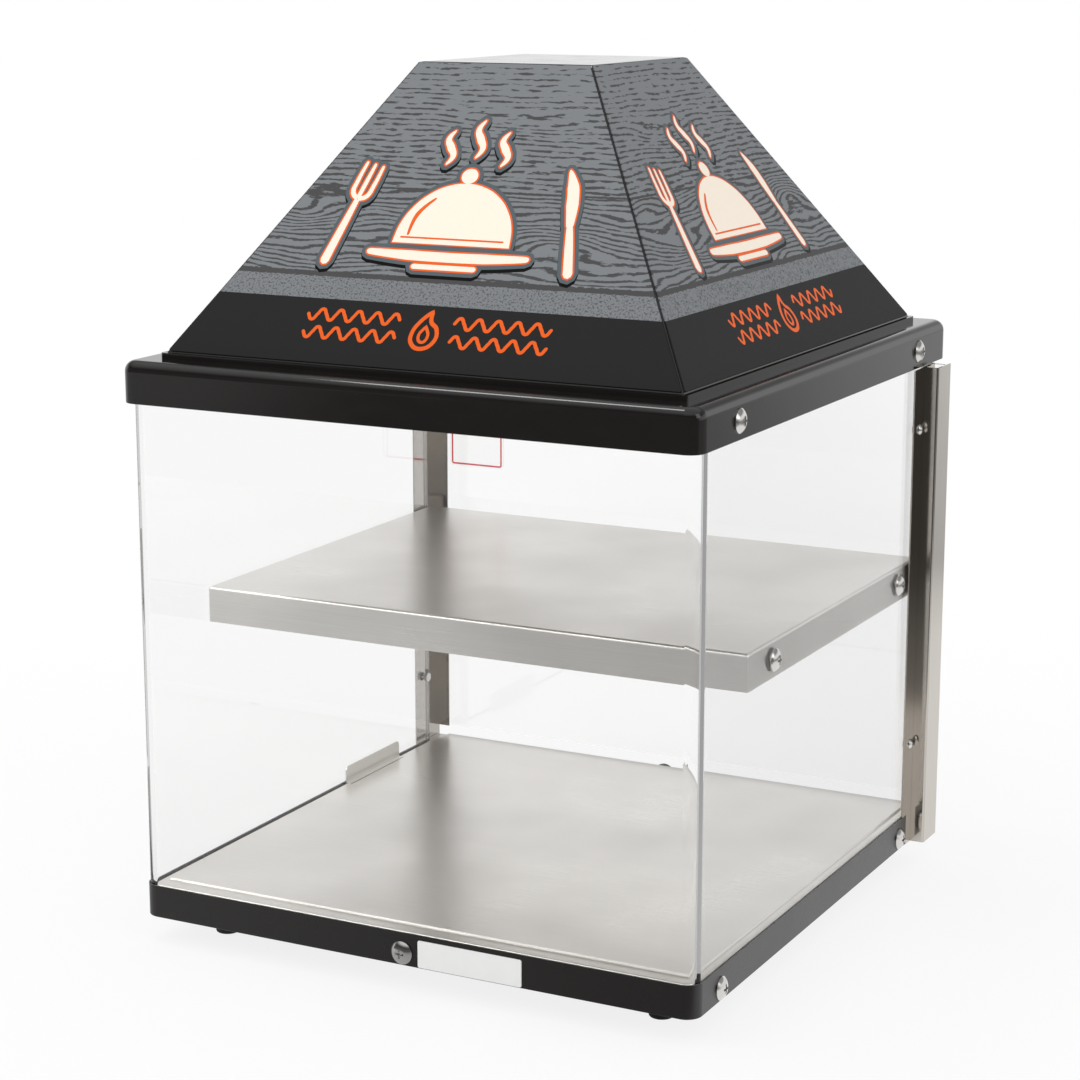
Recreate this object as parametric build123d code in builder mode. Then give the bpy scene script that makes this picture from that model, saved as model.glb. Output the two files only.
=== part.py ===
"""Countertop heated merchandiser: heated deck and shelf in a clear case, under a lid with a sign hood."""

import os
from math import atan2, degrees, hypot

from build123d import *

# Millimetres. +X is to the right of the front, +Y runs to the back and +Z is up.
# The origin lies on the counter, under the middle of the lid.

# Sheets, fits and gaps; cut_over is how far a cut runs past the face that it opens
pan_sheet = 1.2
deck_sheet = 1.0
post_sheet = 1.2
slip = 0.1
shelf_slip = 0.2
screw_clearance = 0.3
door_gap = 0.3
running_gap = 0.05
thread_gap = 0.02
cut_over = 1.0

# Feet
foot_height = 20.0
foot_top_radius = 10.2
foot_bottom_radius = 9.2
foot_edge_round = 1.6
foot_inset_x = 45.8
foot_inset_y = 45.4
foot_recess_radius = 5.0
foot_recess_depth = 8.0
foot_screw_reach = 4.0

# Base pan
base_width = 457.2
base_depth = 455.4
pan_height = 25.0
pan_side_setback = 35.4
pan_tongue_lap = 5.0
corner_radius = 12.0
pan_edge_round = 0.8
rear_panel_height = 22.0

# Heated deck
ledge_height = 24.4
deck_rise = 1.6
deck_flange = 18.0
deck_rear_gap = 2.2
side_ledge = 6.5
front_ledge = 13.0
ear_reach = 4.8
deck_edge_round = 1.2
plate_edge_bevel = 1.1
mat_thickness = 1.5
lower_blanket = 6.0
mat_margin_x = 32.0
mat_front_margin = 22.0
mat_rear_margin = 56.0

# Upturned guard on the left of the deck
guard_start = 286.0
guard_length = 88.0
guard_height = 15.0
guard_foot = 5.4
guard_corner = 4.0

# Clear enclosure
panel_thickness = 4.8
enclosure_setback = 25.1
enclosure_overlap = 20.0

# Rear posts and their outer channels
post_lap = 19.3
post_depth = 46.2
lip_width = 11.6
lip_lift = 32.0
post_top_gap = 1.5
web_gap = 1.2
channel_depth = 29.3
channel_width = 11.55
channel_foot = 12.0
bend_round = 1.8
post_bend_round = 1.0

# Lid
lid_drop = 394.0
lid_height = 31.0
lid_wall = 2.0
lid_slip = 0.2
lid_front_overhang = 8.0
lid_rear_overhang = 26.6
lid_edge_round = 8.0
lid_rim_round = 0.6
lid_headroom = 0.5
ceiling_lift = 3.0
ceiling_flange = 17.0
ceiling_setback = 2.0

# Sign hood
hood_side_margin = 22.5
hood_end_margin = 27.0
hood_top_inset = 136.0
hood_height = 206.0
hood_foot = 4.0
hood_foot_reach = 2.5
hood_flange = 16.0
hood_screw_land = 1.2
hood_wall = 2.0
hood_top_round = 4.0
sign_thickness = 1.0
sign_margin = 1.2
sign_corner = 0.8

# Upper shelf
shelf_front = 89.8
shelf_rear_proud = 4.3
shelf_height = 27.6
shelf_underside_lift = 210.4
shelf_sheet = 1.2
shelf_round = 2.4
shelf_corner = 1.6
shelf_cover_lift = 0.4
shelf_blanket = 12.0
sleeve_length = 14.0
sleeve_tail = 15.0
sleeve_width = 10.0
sleeve_step = 2.6

# Shape of every screw head, as shares of its own radius, height and slot
head_rim_share = 0.22
crown_share = 0.62
crown_rise_share = 0.84
slot_share = 0.24
slot_depth_share = 0.8

# Large truss-head screws, and where they sit from the front or rear of what they hold
truss_head_radius = 8.7
truss_head_height = 4.0
truss_shank_radius = 3.0
truss_reach = 4.0
truss_slot = 7.0
base_screw_front = 43.5
base_screw_rear = 15.4
base_screw_height = 9.7
lid_screw_front = 58.3
lid_screw_rear = 16.9
lid_screw_height = 13.5
shelf_screw_front = 44.0
shelf_screw_rear = 44.4
front_screw_x = -2.4

# Small post screws and nuts
low_post_screw = 84.3
high_post_screw = 343.5
post_screw_inset = 5.3
post_head_radius = 4.2
post_head_height = 2.4
post_shank_radius = 2.0
post_slot = 3.6
nut_radius = 4.2
nut_height = 2.6

# Name plate
plate_width = 84.0
plate_height = 20.6
plate_thickness = 0.8
plate_x = 53.0
plate_corner = 1.5
plate_edge_round = 0.35
plate_lift = 0.8

# Door
door_thickness = 3.0
door_top_gap = 2.5
door_sill_gap = 1.0
door_corner = 3.0
door_edge_lap = 1.0
door_edge_gap = 1.5
hinge_barrel = 2.6
hinge_pin = 1.25
hinge_height = 40.0
hinge_leaf = 1.0
leaf_gap = 1.0
hinge_axis_lift = 0.4
pin_head_radius = 2.1
pin_head_height = 1.0
low_hinge = 80.0
high_hinge = 346.0
hinge_standoff = 3.0
leaf_setback = 3.5
pull_height = 100.0
pull_width = 14.0
pull_projection = 19.0
pull_strap = 2.5
pull_foot = 16.0
pull_inset = 5.0
pull_outer_round = 6.0
pull_inner_round = 4.0
pull_level = 150.0
pull_screw_radius = 1.5
pull_head_radius = 3.2
pull_head_height = 1.8
pull_slot = 2.8
pull_screw_land = 0.5
catch_level = 250.0
catch_height = 25.0
catch_depth = 11.0
catch_edge_round = 0.8
strike_thickness = 0.9
strike_margin = 2.0
label_width = 53.0
label_height = 76.0
label_thickness = 0.25
label_corner = 4.0
label_gap = 1.3
label_level = 270.4

# Controls on the rear panel
control_height = 12.4
switch_x = -70.0
bezel_width = 21.4
bezel_height = 15.4
bezel_thickness = 1.6
bezel_overlap = 1.2
bezel_round = 0.6
switch_body_depth = 14.0
rocker_width = 13.4
rocker_height = 8.4
rocker_gap = 0.9
rocker_side_gap = 0.3
rocker_tilt = 6.0
rocker_pin_radius = 1.0
rocker_pin_reach = 0.8
rocker_pivot_rise = 0.4
rocker_back = 3.0
rocker_well_gap = 1.2
rocker_proud = 2.2
rocker_dish = 1.3
rocker_round = 0.5
thermostat_x = -10.0
thermostat_size = 20.0
thermostat_rise = 19.0
thermostat_depth = 17.0
bushing_radius = 4.6
bushing_reach = 3.8
shaft_radius = 3.0
shaft_depth = 9.5
shaft_bore_gap = 0.5
knob_radius = 10.0
knob_height = 13.0
knob_roof = 3.0
knob_taper = 3.0
knob_flutes = 18
flute_radius = 0.7
flute_start = 2.0
knob_round = 1.0
pointer_width = 1.2
pointer_length = 6.0
gland_x = 60.0
gland_bore = 4.0
gland_barrel = 6.0
gland_flange = 9.0
gland_flange_height = 4.0
gland_collar = 7.7
gland_collar_round = 2.2
gland_dome = 10.0
gland_tail = 9.0
gland_nut_height = 3.5
terminal_from_side = 78.6
terminal_width = 36.0
terminal_depth = 17.0
terminal_height = 12.0
terminal_gap = 3.0

# Wires in the right channel
wire_radius = 1.5
first_wire = 8.0
wire_pitch = 6.0
wire_bend = 4.5
wire_drop = 8.0

# Places worked out from the sizes above
lid_depth = lid_front_overhang + base_depth + lid_rear_overhang
front = -lid_depth / 2 + lid_front_overhang
pan_bottom = foot_height
pan_top = pan_bottom + pan_height
base_half = base_width / 2
terminal_x = base_half - terminal_from_side
base_rear = front + base_depth
pan_side_rear = base_rear - pan_side_setback
enclosure_half = base_half - pan_sheet - slip
enclosure_front = front + pan_sheet + slip
enclosure_rear = base_rear - enclosure_setback
lid_width = 2 * (enclosure_half + lid_slip + lid_wall)
hood_width = lid_width - 2 * hood_side_margin
hood_depth = lid_depth - 2 * hood_end_margin
inner_half = enclosure_half - panel_thickness
inner_front = enclosure_front + panel_thickness
inner_radius = corner_radius - pan_sheet - slip - panel_thickness
lid_bottom = pan_bottom + lid_drop
lid_top = lid_bottom + lid_height
enclosure_bottom = pan_bottom + pan_sheet
enclosure_top = lid_bottom + enclosure_overlap
deck_half = inner_half - shelf_slip
deck_front = inner_front + shelf_slip
deck_rear = base_rear - deck_rear_gap
ledge_top = pan_bottom + ledge_height
deck_top = ledge_top + deck_rise
post_outer = base_half
post_inner = base_half - post_sheet
post_front = enclosure_rear - post_lap
post_rear = post_front + post_depth
post_top = lid_bottom - post_top_gap
web_front = enclosure_rear + web_gap
web_rear = web_front + post_sheet
channel_rear = web_front + channel_depth
channel_outer = post_outer + running_gap + channel_width
channel_inner = channel_outer - post_sheet
post_screw_y = enclosure_rear - post_screw_inset
shelf_bottom = pan_bottom + shelf_underside_lift
shelf_top = shelf_bottom + shelf_height
shelf_y0 = front + shelf_front
shelf_y1 = enclosure_rear + shelf_rear_proud
shelf_middle = (shelf_bottom + shelf_top) / 2
hood_bottom = lid_top
hood_base = hood_bottom + hood_foot
hood_slant = hypot(hood_top_inset, hood_height)
sign_inset = sign_thickness * hood_slant / hood_height
ceiling_bottom = lid_bottom + ceiling_lift
control_z = pan_bottom + control_height
panel_front = base_rear - pan_sheet
door_front = post_rear + door_gap
door_rear = door_front + door_thickness
door_left = -post_inner + door_edge_lap
door_right = channel_inner - door_edge_gap
door_bottom = pan_bottom + lip_lift + door_sill_gap
door_top = lid_bottom - door_top_gap
hinge_x = -(post_outer + hinge_standoff)
hinge_y = door_rear + hinge_axis_lift
wire_x = (post_outer + channel_inner) / 2


def slab(x, y, z, mode=Mode.ADD):
    """Box between the low and high ends given for each axis."""
    with Locations(((x[0] + x[1]) / 2, (y[0] + y[1]) / 2, (z[0] + z[1]) / 2)):
        Box(x[1] - x[0], y[1] - y[0], z[1] - z[0], mode=mode)


def rod(centre, direction, radius, length, mode=Mode.ADD):
    """Cylinder along a direction, centred on a point."""
    with Locations(Plane(origin=centre, z_dir=direction)):
        Cylinder(radius, length, mode=mode)


def front_rounded(half, y0, y1, radius):
    """Rectangle seen from above, with its two front corners rounded."""
    with BuildSketch() as outline:
        with Locations((0, (y0 + y1) / 2)):
            Rectangle(2 * half, y1 - y0)
        fillet(outline.vertices().group_by(Axis.Y)[0], radius)
    return outline.sketch


def all_rounded(width, depth, radius):
    """Rectangle seen from above, centred, with four rounded corners."""
    with BuildSketch() as outline:
        RectangleRounded(width, depth, radius)
    return outline.sketch


def screw(head_radius, head_height, shank_radius, shank_length, slot):
    """Truss-head screw along Z: the head stands on z = 0 and the shank hangs below it."""
    with BuildPart() as body:
        with BuildSketch(Plane.XZ) as profile:
            with BuildLine():
                rim = Line((head_radius, 0), (head_radius, head_height * head_rim_share))
                shoulder = (head_radius * crown_share, head_height * crown_rise_share)
                crown = ThreePointArc(rim @ 1, shoulder, (0, head_height))
                foot = [(0, -shank_length), (shank_radius, -shank_length), (shank_radius, 0)]
                Polyline(crown @ 1, *foot, rim @ 0)
            make_face()
        revolve(axis=Axis.Z)
        for turn in (0, 90):
            with Locations(Location((0, 0, head_height), (0, 0, turn))):
                Box(slot, slot * slot_share, head_height * slot_depth_share, mode=Mode.SUBTRACT)
    return body.part


def write(builder, name):
    """Label a finished piece and write its STEP file."""
    builder.part.label = name
    export_step(builder.part, f"parts/{name}.step")


def side_screw_planes(half, rows, level):
    """Planes for screws that enter both sides: origin on the surface, normal pointing outwards."""
    planes = []
    for side in (-1, 1):
        for row in rows:
            planes.append(Plane(origin=(side * half, row, level), z_dir=(side, 0, 0)))
    return planes


def drill(planes, radius, depth):
    """Holes along the screw planes, reaching depth below and a little above each surface."""
    with Locations(*planes):
        Cylinder(radius, 2 * depth, mode=Mode.SUBTRACT)


base_rows = (front + base_screw_front, pan_side_rear - base_screw_rear)
lid_rows = (front + lid_screw_front, enclosure_rear - lid_screw_rear)
shelf_rows = (shelf_y0 + shelf_screw_front, shelf_y1 - shelf_screw_rear)
base_screw_z = pan_bottom + base_screw_height
base_planes = side_screw_planes(base_half, base_rows, base_screw_z)
lid_planes = side_screw_planes(lid_width / 2, lid_rows, lid_bottom + lid_screw_height)
shelf_planes = side_screw_planes(enclosure_half, shelf_rows, shelf_middle)
post_planes = []
for post_level in (low_post_screw, high_post_screw):
    post_planes += side_screw_planes(post_outer, [post_screw_y], pan_bottom + post_level)
front_plane = Plane(origin=(front_screw_x, front, base_screw_z), z_dir=(0, -1, 0))

truss_hole = truss_shank_radius + screw_clearance
thread_hole = truss_shank_radius + thread_gap
base_grip = pan_sheet + slip + panel_thickness + shelf_slip + deck_sheet + truss_reach
lid_grip = lid_width / 2 - inner_half + slip + deck_sheet + truss_reach
shelf_grip = panel_thickness + shelf_slip + shelf_sheet + truss_reach
post_grip = post_sheet + slip + panel_thickness + nut_height
hood_screw_grip = lid_wall + hood_foot - hood_screw_land


def base_parts():
    """Feet, base pan and the panel that closes its back."""
    foot_x = base_half - foot_inset_x
    foot_y0 = front + foot_inset_y
    foot_y1 = base_rear - foot_inset_y
    corners = {
        "foot_front_left": (-foot_x, foot_y0),
        "foot_front_right": (foot_x, foot_y0),
        "foot_rear_left": (-foot_x, foot_y1),
        "foot_rear_right": (foot_x, foot_y1),
    }
    screw_hole = post_shank_radius + screw_clearance
    for name, (x, y) in corners.items():
        with BuildPart() as foot:
            with Locations((x, y, 0)):
                Cone(
                    foot_bottom_radius,
                    foot_top_radius,
                    foot_height,
                    align=(Align.CENTER, Align.CENTER, Align.MIN),
                )
            fillet(foot.edges().group_by(Axis.Z)[0], foot_edge_round)
            with Locations((x, y, 0)):
                Cylinder(foot_recess_radius, 2 * foot_recess_depth, mode=Mode.SUBTRACT)
                Cylinder(screw_hole, 3 * foot_height, mode=Mode.SUBTRACT)
        write(foot, name)

    shank = foot_height - foot_recess_depth + pan_sheet + foot_screw_reach
    foot_screw = screw(post_head_radius, post_head_height, post_shank_radius, shank, post_slot)
    with BuildPart() as foot_screws:
        for x, y in corners.values():
            with Locations(Plane(origin=(x, y, foot_recess_depth), z_dir=(0, 0, -1))):
                add(foot_screw)
    write(foot_screws, "foot_screws")

    with BuildPart() as base_pan:
        with BuildSketch(Plane.XY.offset(pan_bottom)):
            add(front_rounded(base_half, front, pan_side_rear, corner_radius))
        extrude(amount=pan_height)
        fillet(base_pan.edges().group_by(Axis.Z)[0], pan_edge_round)
        with BuildSketch(Plane.XY.offset(pan_bottom + pan_sheet)):
            inner = corner_radius - pan_sheet
            add(front_rounded(base_half - pan_sheet, front + pan_sheet, pan_side_rear + cut_over, inner))
        extrude(amount=pan_height, mode=Mode.SUBTRACT)
        tongue_y = (pan_side_rear - pan_tongue_lap, base_rear)
        slab((-enclosure_half, enclosure_half), tongue_y, (pan_bottom, enclosure_bottom))
        drill(base_planes, truss_hole, 2 * pan_sheet)
        drill([front_plane], truss_hole, 2 * pan_sheet)
        for x, y in corners.values():
            rod((x, y, pan_bottom), (0, 0, 1), post_shank_radius + thread_gap, 4 * pan_sheet, Mode.SUBTRACT)
    write(base_pan, "base_pan")

    with BuildPart() as rear_panel:
        panel_bottom = pan_bottom + pan_sheet
        slab(
            (-enclosure_half, enclosure_half),
            (panel_front, base_rear),
            (panel_bottom, panel_bottom + rear_panel_height),
        )
        body_half = bezel_width / 2 - bezel_overlap
        body_rise = bezel_height / 2 - bezel_overlap
        slab(
            (switch_x - body_half - slip, switch_x + body_half + slip),
            (panel_front - cut_over, base_rear + cut_over),
            (control_z - body_rise - slip, control_z + body_rise + slip),
            Mode.SUBTRACT,
        )
        hole_depth = 4 * pan_sheet
        rod((thermostat_x, base_rear, control_z), (0, 1, 0), bushing_radius + slip, hole_depth, Mode.SUBTRACT)
        rod((gland_x, base_rear, control_z), (0, 1, 0), gland_barrel + slip, hole_depth, Mode.SUBTRACT)
    write(rear_panel, "rear_panel")


def deck_parts():
    """Heated deck with its raised plate, the guard on its left, the heater mat and the blanket under it."""
    plate_half = deck_half - side_ledge
    plate_front = deck_front + front_ledge
    radius = inner_radius - shelf_slip
    with BuildPart() as lower_deck:
        with BuildSketch(Plane.XY.offset(ledge_top - deck_flange)):
            add(front_rounded(deck_half, deck_front, enclosure_rear, radius))
        extrude(amount=deck_flange)
        top_edges = lower_deck.edges().group_by(Axis.Z)[-1]
        fillet(top_edges, deck_edge_round)
        with BuildSketch(Plane.XY.offset(ledge_top - deck_flange)):
            inner = radius - deck_sheet
            rear = enclosure_rear + cut_over
            add(front_rounded(deck_half - deck_sheet, deck_front + deck_sheet, rear, inner))
        extrude(amount=deck_flange - deck_sheet, mode=Mode.SUBTRACT)
        ear_half = deck_half + ear_reach
        slab((-ear_half, ear_half), (enclosure_rear + slip, deck_rear), (ledge_top - deck_sheet, ledge_top))
        rear_y = (enclosure_rear - pan_tongue_lap, deck_rear)
        slab((-deck_half, deck_half), rear_y, (ledge_top - deck_sheet, ledge_top))
        with BuildSketch(Plane.XY.offset(ledge_top - deck_sheet)):
            with Locations((0, (plate_front + deck_rear) / 2)):
                Rectangle(2 * plate_half, deck_rear - plate_front)
        extrude(amount=deck_rise + deck_sheet)
        plate_edges = lower_deck.edges().group_by(Axis.Z)[-1]
        chamfer(plate_edges, plate_edge_bevel)
        slab(
            (-plate_half + 2 * deck_sheet, plate_half - 2 * deck_sheet),
            (plate_front + 2 * deck_sheet, deck_rear - 2 * deck_sheet),
            (ledge_top - 2 * deck_sheet, deck_top - deck_sheet),
            Mode.SUBTRACT,
        )
        drill(base_planes, thread_hole, 2 * panel_thickness)
        drill([front_plane], thread_hole, 2 * panel_thickness)
    write(lower_deck, "lower_deck")

    guard_y = (front + guard_start, front + guard_start + guard_length)
    with BuildPart() as deck_guard:
        guard_x = -deck_half + slip
        slab((guard_x, -deck_half + guard_foot), guard_y, (ledge_top, ledge_top + deck_sheet))
        slab((guard_x, guard_x + deck_sheet), guard_y, (ledge_top, ledge_top + guard_height))
        ends = deck_guard.edges().filter_by(Axis.X).group_by(Axis.Z)[-1]
        fillet(ends, guard_corner)
    write(deck_guard, "deck_guard")

    mat_x = (-base_half + mat_margin_x, base_half - mat_margin_x)
    mat_y = (deck_front + mat_front_margin, deck_rear - mat_rear_margin)
    mat_top = deck_top - deck_sheet
    with BuildPart() as lower_heater:
        slab(mat_x, mat_y, (mat_top - mat_thickness, mat_top))
    write(lower_heater, "lower_heater")
    with BuildPart() as lower_insulation:
        slab(mat_x, mat_y, (mat_top - mat_thickness - lower_blanket, mat_top - mat_thickness))
    write(lower_insulation, "lower_insulation")


def enclosure_parts():
    """Clear case bent from one sheet: front and both sides."""
    radius = corner_radius - pan_sheet - slip
    height = enclosure_top - enclosure_bottom
    with BuildPart() as clear_enclosure:
        with BuildSketch(Plane.XY.offset(enclosure_bottom)):
            add(front_rounded(enclosure_half, enclosure_front, enclosure_rear, radius))
            hollow = front_rounded(inner_half, inner_front, enclosure_rear + cut_over, inner_radius)
            add(hollow, mode=Mode.SUBTRACT)
        extrude(amount=height)
        depth = 2 * panel_thickness
        drill(base_planes, truss_hole, depth)
        drill(lid_planes, truss_hole, depth)
        drill(shelf_planes, truss_hole, depth)
        drill(post_planes, post_shank_radius + screw_clearance, depth)
        drill([front_plane], truss_hole, depth)
    write(clear_enclosure, "clear_enclosure")


def post_parts():
    """Rear posts bent from sheet, the channels outside them and their screws and nuts."""
    notch_top = pan_top + door_gap
    lip_bottom = pan_bottom + lip_lift
    wire_y = [web_rear + first_wire, web_rear + first_wire + wire_pitch]
    slot_y = (wire_y[0] - 3 * wire_radius, wire_y[1] + 3 * wire_radius)
    slot_half = 3 * wire_radius
    with BuildPart() as rear_post_right:
        slab((post_inner, post_outer), (post_front, post_rear), (pan_bottom, post_top))
        lip_x = (post_outer - lip_width, post_outer)
        slab(lip_x, (post_rear - post_sheet, post_rear), (lip_bottom, post_top))
        bend = rear_post_right.edges().filter_by(Axis.Z).sort_by(Axis.Y)[-2:].sort_by(Axis.X)[-1]
        fillet(bend, post_bend_round)
        slab(
            (post_inner - cut_over, post_outer + cut_over),
            (post_front - cut_over, pan_side_rear + shelf_slip),
            (pan_bottom - cut_over, notch_top),
            Mode.SUBTRACT,
        )
        for level in (shelf_middle, pan_bottom + wire_drop):
            slot_z = (level - slot_half, level + slot_half)
            slab((post_inner - cut_over, post_outer + cut_over), slot_y, slot_z, Mode.SUBTRACT)
        drill(post_planes, post_shank_radius + screw_clearance, 2 * post_sheet)
    write(rear_post_right, "rear_post_right")
    with BuildPart() as rear_post_left:
        mirror(rear_post_right.part, about=Plane.YZ)
    write(rear_post_left, "rear_post_left")

    with BuildPart() as wire_channel_right:
        foot_inner = post_outer + running_gap
        foot_x = (foot_inner, foot_inner + post_sheet)
        upright = (pan_bottom, post_top)
        slab(foot_x, (web_front, web_rear + channel_foot), upright)
        slab((foot_inner, channel_outer), (web_front, web_rear), upright)
        slab((channel_inner, channel_outer), (web_front, channel_rear), upright)
        uprights = wire_channel_right.edges().filter_by(Axis.Z)
        corner = uprights.sort_by(Axis.X).group_by(Axis.Y)[0].sort_by(Axis.X)[-1]
        fillet(corner, bend_round)
        for level in (shelf_middle, pan_bottom + wire_drop):
            slot_z = (level - slot_half, level + slot_half)
            slab((foot_inner - cut_over, foot_inner + post_sheet + cut_over), slot_y, slot_z, Mode.SUBTRACT)
    write(wire_channel_right, "wire_channel_right")
    with BuildPart() as wire_channel_left:
        mirror(wire_channel_right.part, about=Plane.YZ)
    write(wire_channel_left, "wire_channel_left")

    post_screw = screw(post_head_radius, post_head_height, post_shank_radius, post_grip, post_slot)
    with BuildPart() as post_screws:
        with Locations(*post_planes):
            add(post_screw)
    write(post_screws, "post_screws")

    with BuildPart() as post_nuts:
        for plane in post_planes:
            side = 1 if plane.origin.X > 0 else -1
            seat = Plane(origin=(side * inner_half, plane.origin.Y, plane.origin.Z), z_dir=(-side, 0, 0))
            with BuildSketch(seat):
                RegularPolygon(nut_radius, 6)
                Circle(post_shank_radius + thread_gap, mode=Mode.SUBTRACT)
            extrude(amount=nut_height)
    write(post_nuts, "post_nuts")

    with BuildPart() as channel_wires:
        for y in wire_y:
            points = [
                (post_inner - slip, y, shelf_middle),
                (wire_x, y, shelf_middle),
                (wire_x, y, pan_bottom + wire_drop),
                (terminal_x + terminal_width / 2, y, pan_bottom + wire_drop),
            ]
            with BuildLine():
                route = FilletPolyline(*points, radius=wire_bend)
            with BuildSketch(Plane(origin=points[0], z_dir=(1, 0, 0))):
                Circle(wire_radius)
            sweep(path=route)
    write(channel_wires, "channel_wires")


def shelf_parts():
    """Heated shelf: formed top, cover, heater mat, blanket, side screws and the sleeve for its wires."""
    half = inner_half - shelf_slip
    notch_front = shelf_y1 - sleeve_length
    with BuildPart() as upper_shelf:
        slab((-half, half), (shelf_y0, shelf_y1), (shelf_bottom, shelf_top))
        fillet(upper_shelf.edges().filter_by(Axis.Z), shelf_corner)
        fillet(upper_shelf.edges().group_by(Axis.Z)[-1], shelf_round)
        slab(
            (-half + shelf_sheet, half - shelf_sheet),
            (shelf_y0 + shelf_sheet, shelf_y1 - shelf_sheet),
            (shelf_bottom - cut_over, shelf_top - shelf_sheet),
            Mode.SUBTRACT,
        )
        slab(
            (half - sleeve_width, half + cut_over),
            (notch_front, shelf_y1 + cut_over),
            (shelf_bottom - cut_over, shelf_top - shelf_round - shelf_sheet),
            Mode.SUBTRACT,
        )
        drill(shelf_planes, thread_hole, 2 * panel_thickness)
    write(upper_shelf, "upper_shelf")

    cover_half = half - shelf_sheet - slip
    cover_y = (shelf_y0 + shelf_sheet + slip, shelf_y1 - shelf_sheet - slip)
    with BuildPart() as shelf_cover:
        cover_bottom = shelf_bottom + shelf_cover_lift
        slab((-cover_half, cover_half), cover_y, (cover_bottom, cover_bottom + deck_sheet))
        slab(
            (half - sleeve_width - slip, half + cut_over),
            (notch_front - slip, shelf_y1 + cut_over),
            (shelf_bottom - cut_over, shelf_top),
            Mode.SUBTRACT,
        )
    write(shelf_cover, "shelf_cover")

    mat_x = (-base_half + mat_margin_x, base_half - mat_margin_x)
    mat_y = (shelf_y0 + mat_front_margin, shelf_y1 - mat_front_margin)
    mat_top = shelf_top - shelf_sheet
    with BuildPart() as upper_heater:
        slab(mat_x, mat_y, (mat_top - mat_thickness, mat_top))
    write(upper_heater, "upper_heater")
    with BuildPart() as upper_insulation:
        slab(mat_x, mat_y, (mat_top - mat_thickness - shelf_blanket, mat_top - mat_thickness))
    write(upper_insulation, "upper_insulation")

    sleeve_top = shelf_top - shelf_round - shelf_sheet - slip
    with BuildPart() as wire_sleeve:
        x_in = half - sleeve_width + slip
        sleeve_bottom = shelf_bottom + shelf_cover_lift
        slab((x_in, half), (notch_front + slip, shelf_y1 + slip), (sleeve_bottom, sleeve_top))
        tail_z = (sleeve_bottom + sleeve_step, sleeve_top - sleeve_step)
        slab((x_in, post_inner - slip), (shelf_y1 + slip, shelf_y1 + sleeve_tail), tail_z)
    write(wire_sleeve, "wire_sleeve")

    shelf_screw = screw(truss_head_radius, truss_head_height, truss_shank_radius, shelf_grip, truss_slot)
    with BuildPart() as shelf_screws:
        with Locations(*shelf_planes):
            add(shelf_screw)
    write(shelf_screws, "shelf_screws")


def lid_parts():
    """Moulded lid, the ceiling tray inside it and the screws through its skirt."""
    inner_depth = lid_depth - 2 * lid_wall
    with BuildPart() as lid_shell:
        with BuildSketch(Plane.XY.offset(lid_bottom)):
            add(all_rounded(lid_width, lid_depth, corner_radius))
        extrude(amount=lid_height)
        fillet(lid_shell.edges().group_by(Axis.Z)[-1], lid_edge_round)
        fillet(lid_shell.edges().group_by(Axis.Z)[0], lid_rim_round)
        with BuildSketch(Plane.XY.offset(lid_bottom - cut_over)):
            add(all_rounded(lid_width - 2 * lid_wall, inner_depth, corner_radius - lid_wall))
        extrude(amount=enclosure_overlap + cut_over + lid_headroom, mode=Mode.SUBTRACT)
        with BuildSketch(Plane.XY.offset(lid_bottom)):
            inset = 2 * (lid_edge_round + lid_wall)
            add(all_rounded(lid_width - inset, lid_depth - inset, corner_radius))
        extrude(amount=lid_height - lid_wall, mode=Mode.SUBTRACT)
        drill(lid_planes, truss_hole, 2 * lid_wall)
        drill(hood_screw_planes(), post_shank_radius + screw_clearance, 3 * lid_wall)
        head_room = (Align.CENTER, Align.CENTER, Align.MIN)
        with Locations(*hood_screw_planes()):
            Cylinder(post_head_radius + screw_clearance, lid_height, align=head_room, mode=Mode.SUBTRACT)
    write(lid_shell, "lid_shell")

    with BuildPart() as lid_ceiling:
        half = inner_half - slip
        tray_y = (deck_front, deck_rear)
        slab((-half, half), tray_y, (ceiling_bottom, ceiling_bottom + deck_sheet))
        for side in (-1, 1):
            edges = sorted((side * half, side * (half - deck_sheet)))
            flange_y = (deck_front + inner_radius, enclosure_rear - ceiling_setback)
            slab(edges, flange_y, (ceiling_bottom, ceiling_bottom + ceiling_flange))
        fillet(lid_ceiling.edges().filter_by(Axis.Z).group_by(Axis.Y)[0], inner_radius)
        drill(lid_planes, thread_hole, 2 * panel_thickness)
    write(lid_ceiling, "lid_ceiling")

    lid_screw = screw(truss_head_radius, truss_head_height, truss_shank_radius, lid_grip, truss_slot)
    with BuildPart() as lid_screws:
        with Locations(*lid_planes):
            add(lid_screw)
    write(lid_screws, "lid_screws")

    base_screw = screw(truss_head_radius, truss_head_height, truss_shank_radius, base_grip, truss_slot)
    with BuildPart() as base_screws:
        with Locations(*base_planes):
            add(base_screw)
    write(base_screws, "base_screws")
    with BuildPart() as front_screw:
        with Locations(front_plane):
            add(base_screw)
    write(front_screw, "front_screw")

    plate_middle = (plate_x, front, pan_bottom + plate_lift + plate_height / 2)
    plate_face = Plane(origin=plate_middle, x_dir=(1, 0, 0), z_dir=(0, -1, 0))
    with BuildPart() as name_plate:
        with BuildSketch(plate_face):
            RectangleRounded(plate_width, plate_height, plate_corner)
        extrude(amount=plate_thickness)
        fillet(name_plate.edges().group_by(Axis.Y)[0], plate_edge_round)
    write(name_plate, "name_plate")


def hood_screw_planes():
    """Planes on the lid's underside for the screws that hold the hood, normals pointing down."""
    x = hood_width / 2 - hood_flange / 2
    y = hood_depth / 2 - hood_flange / 2
    planes = []
    for place in ((-x, -y), (x, -y), (-x, y), (x, y)):
        planes.append(Plane(origin=(*place, lid_top - lid_wall), z_dir=(0, 0, -1)))
    return planes


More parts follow.
